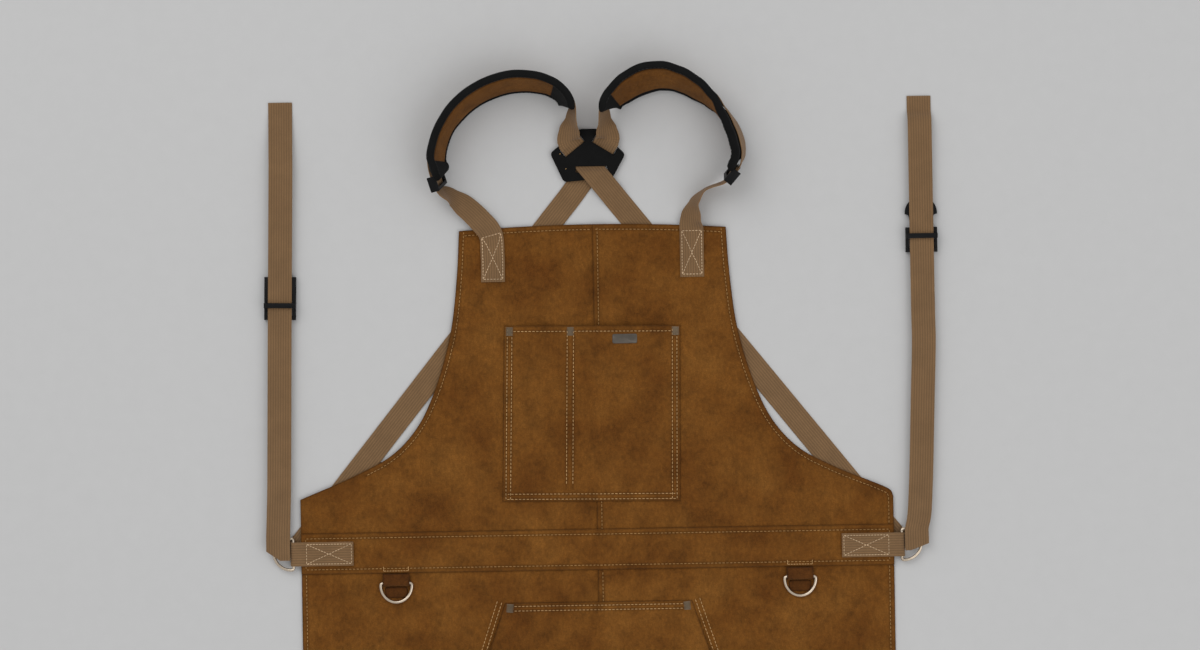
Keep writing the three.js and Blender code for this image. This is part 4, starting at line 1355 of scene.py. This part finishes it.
for name, side in SIDES:
    bar, z = WAIST_BAR, WAIST_RING_Z
    low = band_surface(side * (HALF_WIDTH - 30), 0) + PRESSED + TAB_THICK / 2
    high = low + TAB_THICK + 0.1
    r = WIRE + GAP + TAB_THICK / 2
    middle = (TAB_INNER + TAB_FLAT) / 2
    fold = [
        (TAB_INNER, low), (middle, low), (TAB_FLAT, low), (bar - 7.3, low - 0.1), (bar - 4.6, z - 0.9),
        (bar - 2.4, z - 2.3), (bar, z - r), (bar + 0.75 * r, z - 0.66 * r), (bar + r, z),
        (bar + 0.7 * r, z + 0.72 * r), (bar - 0.6, z + r + 0.1), (bar - 6, high), (TAB_FLAT, high),
        (middle, high), (TAB_INNER, high),
    ]
    fold_ribbon(
        f"waist_tab_{name}_webbing", fold, Vector((side, 0, 0)), Vector(), WEB_HALF, TAB_THICK, WEBBING,
        "webbing", f"waist_tab_{name}",
    )
    flat = Route([(side * (TAB_INNER + d), 0, high) for d in (0, 26, 52)])
    sew_box(f"waist_tab_{name}_stitching", flat, 0.3, 51, TAB_THICK / 2, 0.34)
    x = side * TOOL_X
    for ring, spot, turn in (
        (f"waist_ring_{name}", (side * bar, 0, z), side * math.pi / 2),
        (f"tool_ring_{name}", (x, TOOL_BAR, TOOL_RING_Z), 0),
    ):
        tube(f"{ring}_wire", ring_points(spot, turn), WIRE, STEEL, ring)

    bar, z = TOOL_BAR, TOOL_RING_Z
    r = WIRE + 0.25 + 0.65      # the loop's middle line lies this far from the bar's
    deck = skirt_surface(x, -26) + 0.75
    fold = [
        (-23, deck + 0.1), (-27, deck + 0.1), (bar + 1.5, min(deck, z - r + 0.1)), (bar, z - r),
        (bar - 0.72 * r, z - 0.7 * r), (bar - r, z), (bar - 0.7 * r, z + 0.72 * r),
        (bar + 0.4, z + r), (bar + 5, z + 0.85), (-23.4, deck + 1.75), (-22, deck + 1.7),
    ]
    fold_ribbon(
        f"tool_loop_{name}_leather", fold, Vector((0, 1, 0)), Vector((x, 0, 0)), TOOL_HALF, LOOP_THICK,
        LOOP_SUEDE, "suede", f"tool_loop_{name}",
    )
    flap = [(x - 11, bar - 15.5), (x + 11, bar - 15.5), (x + 12.2, bar - 3.9), (x - 12.2, bar - 3.9)]
    cut_leather(
        f"tool_flap_{name}_leather", rounded(flap), raised(skirt_surface, 0.12), 1.1, material=LOOP_SUEDE,
        pitch=3.5,
    )
    tack = [level(2.4 - BAND_HALF, x - TACK_OUT, x + TACK_OUT)]
    tack += [upright(x + d, 2 - BAND_HALF, 7 - BAND_HALF) for d in (-TACK_OUT, TACK_OUT)]
    sew(f"tool_loop_{name}_stitching", band_surface, tack, CREAM, 0.0, pitch=3.0, length=2.4)

# ---- waist straps and buckle ----

STRAP_Z = WAIST_RING_Z + WIRE + GAP * 2 + WEB_THICK / 2
STRAP_PIVOT = WAIST_BAR + RING_DEPTH / 2 + 0.5


def flat_run(*rows):
    return [(x, y, STRAP_Z) for x, y in rows]


def strap_end(a, b, end):
    """A straight run from a to b and then the tail, which sinks to the floor by its end."""
    run = [(a[0] + (b[0] - a[0]) * t, a[1] + (b[1] - a[1]) * t) for t in (0, 0.1, 0.92)]
    x, y = b
    return [
        *flat_run(*run, b), (x, y + 12, STRAP_Z - 1.2), (x, end - 16, 1.9), (x, end - 10, 1.1), (x, end, 1.0),
    ]


# each strap from over the ring's bow to its tail, as distances from its pivot
WAIST_STRAPS = {
    "left": [
        (-5, -6, STRAP_Z - 0.2), *flat_run((-5, 2), (-5, 14), (-4.6, 27), (-3.8, 48), (-3.3, 60)),
        *strap_end((0.2, 230), (4, 405), 474),
    ],
    "right": [
        (5, -6, STRAP_Z - 0.2),
        *flat_run((5, 2), (5, 14), (7.6, 27), (10, 60), (13.5, 150), (15.8, 215), (15.6, 236)),
        *strap_end((15.4, 300), (15.2, 434), 470),
    ],
}
BUCKLES = {"left": "buckle_socket", "right": "buckle_plug"}
FOLDS = {"left": (-4.8, -0.674), "right": (-3.8, 0.378)}      # the slanted fold: its height and its slope
FOLD_REACH = 34              # above this height the strap isn't slanted
FOLD_LOWEST = -6.2           # below this the strap would meet its tab where it swings
TONGUE_HALF = 5.4


def slanted_end(middle, height, slope):
    """Slants a strap's lower end and lifts it clear of the tab that it swings over."""
    def shift(spot):
        if spot.y >= FOLD_REACH:
            return (0, 0, 0)
        foot = max(height + slope * (spot.x - middle), FOLD_LOWEST)
        share = (FOLD_REACH - spot.y) / (FOLD_REACH + 6)
        moved = FOLD_REACH - share * (FOLD_REACH - foot)
        return (0, moved - spot.y, 1.7 * (1 - smooth(2, 28, moved)))
    return shift


def tongue(name, middle, body):
    """The gathered webbing that goes on down through the ring, below the fold."""
    drops = ((-3, 3.8), (0, 3.2), (4, 2.2), (6.6, 1.7))
    made = ribbon(
        name, Route([(middle, y, STRAP_Z - drop, 0, TONGUE_HALF) for y, drop in drops]).stations(0, 1, 1.0),
        web_section(-0.6, 0.6), WEBBING, body, (), web_shade, web_spread(TONGUE_HALF),
    )


for name, side in SIDES:
    pivot = side * STRAP_PIVOT
    points = [(pivot + x, y, z) for x, y, z in WAIST_STRAPS[name]]
    strap = webbing(
        f"waist_strap_{name}_webbing", Route(points).stations(0, 1), -WEB_THICK / 2, WEB_THICK / 2,
        f"waist_strap_{name}", [f"waist_strap_{name}"], ["floor"], "stretched",
    )
    shift_each(strap, slanted_end(points[0][0], *FOLDS[name]))
    tongue(f"waist_strap_{name}_tongue", pivot, f"waist_strap_{name}")
    buckle = BUCKLES[name]
    moulded(f"{buckle}_moulding", buckle, PLASTIC, buckle, 0.6)
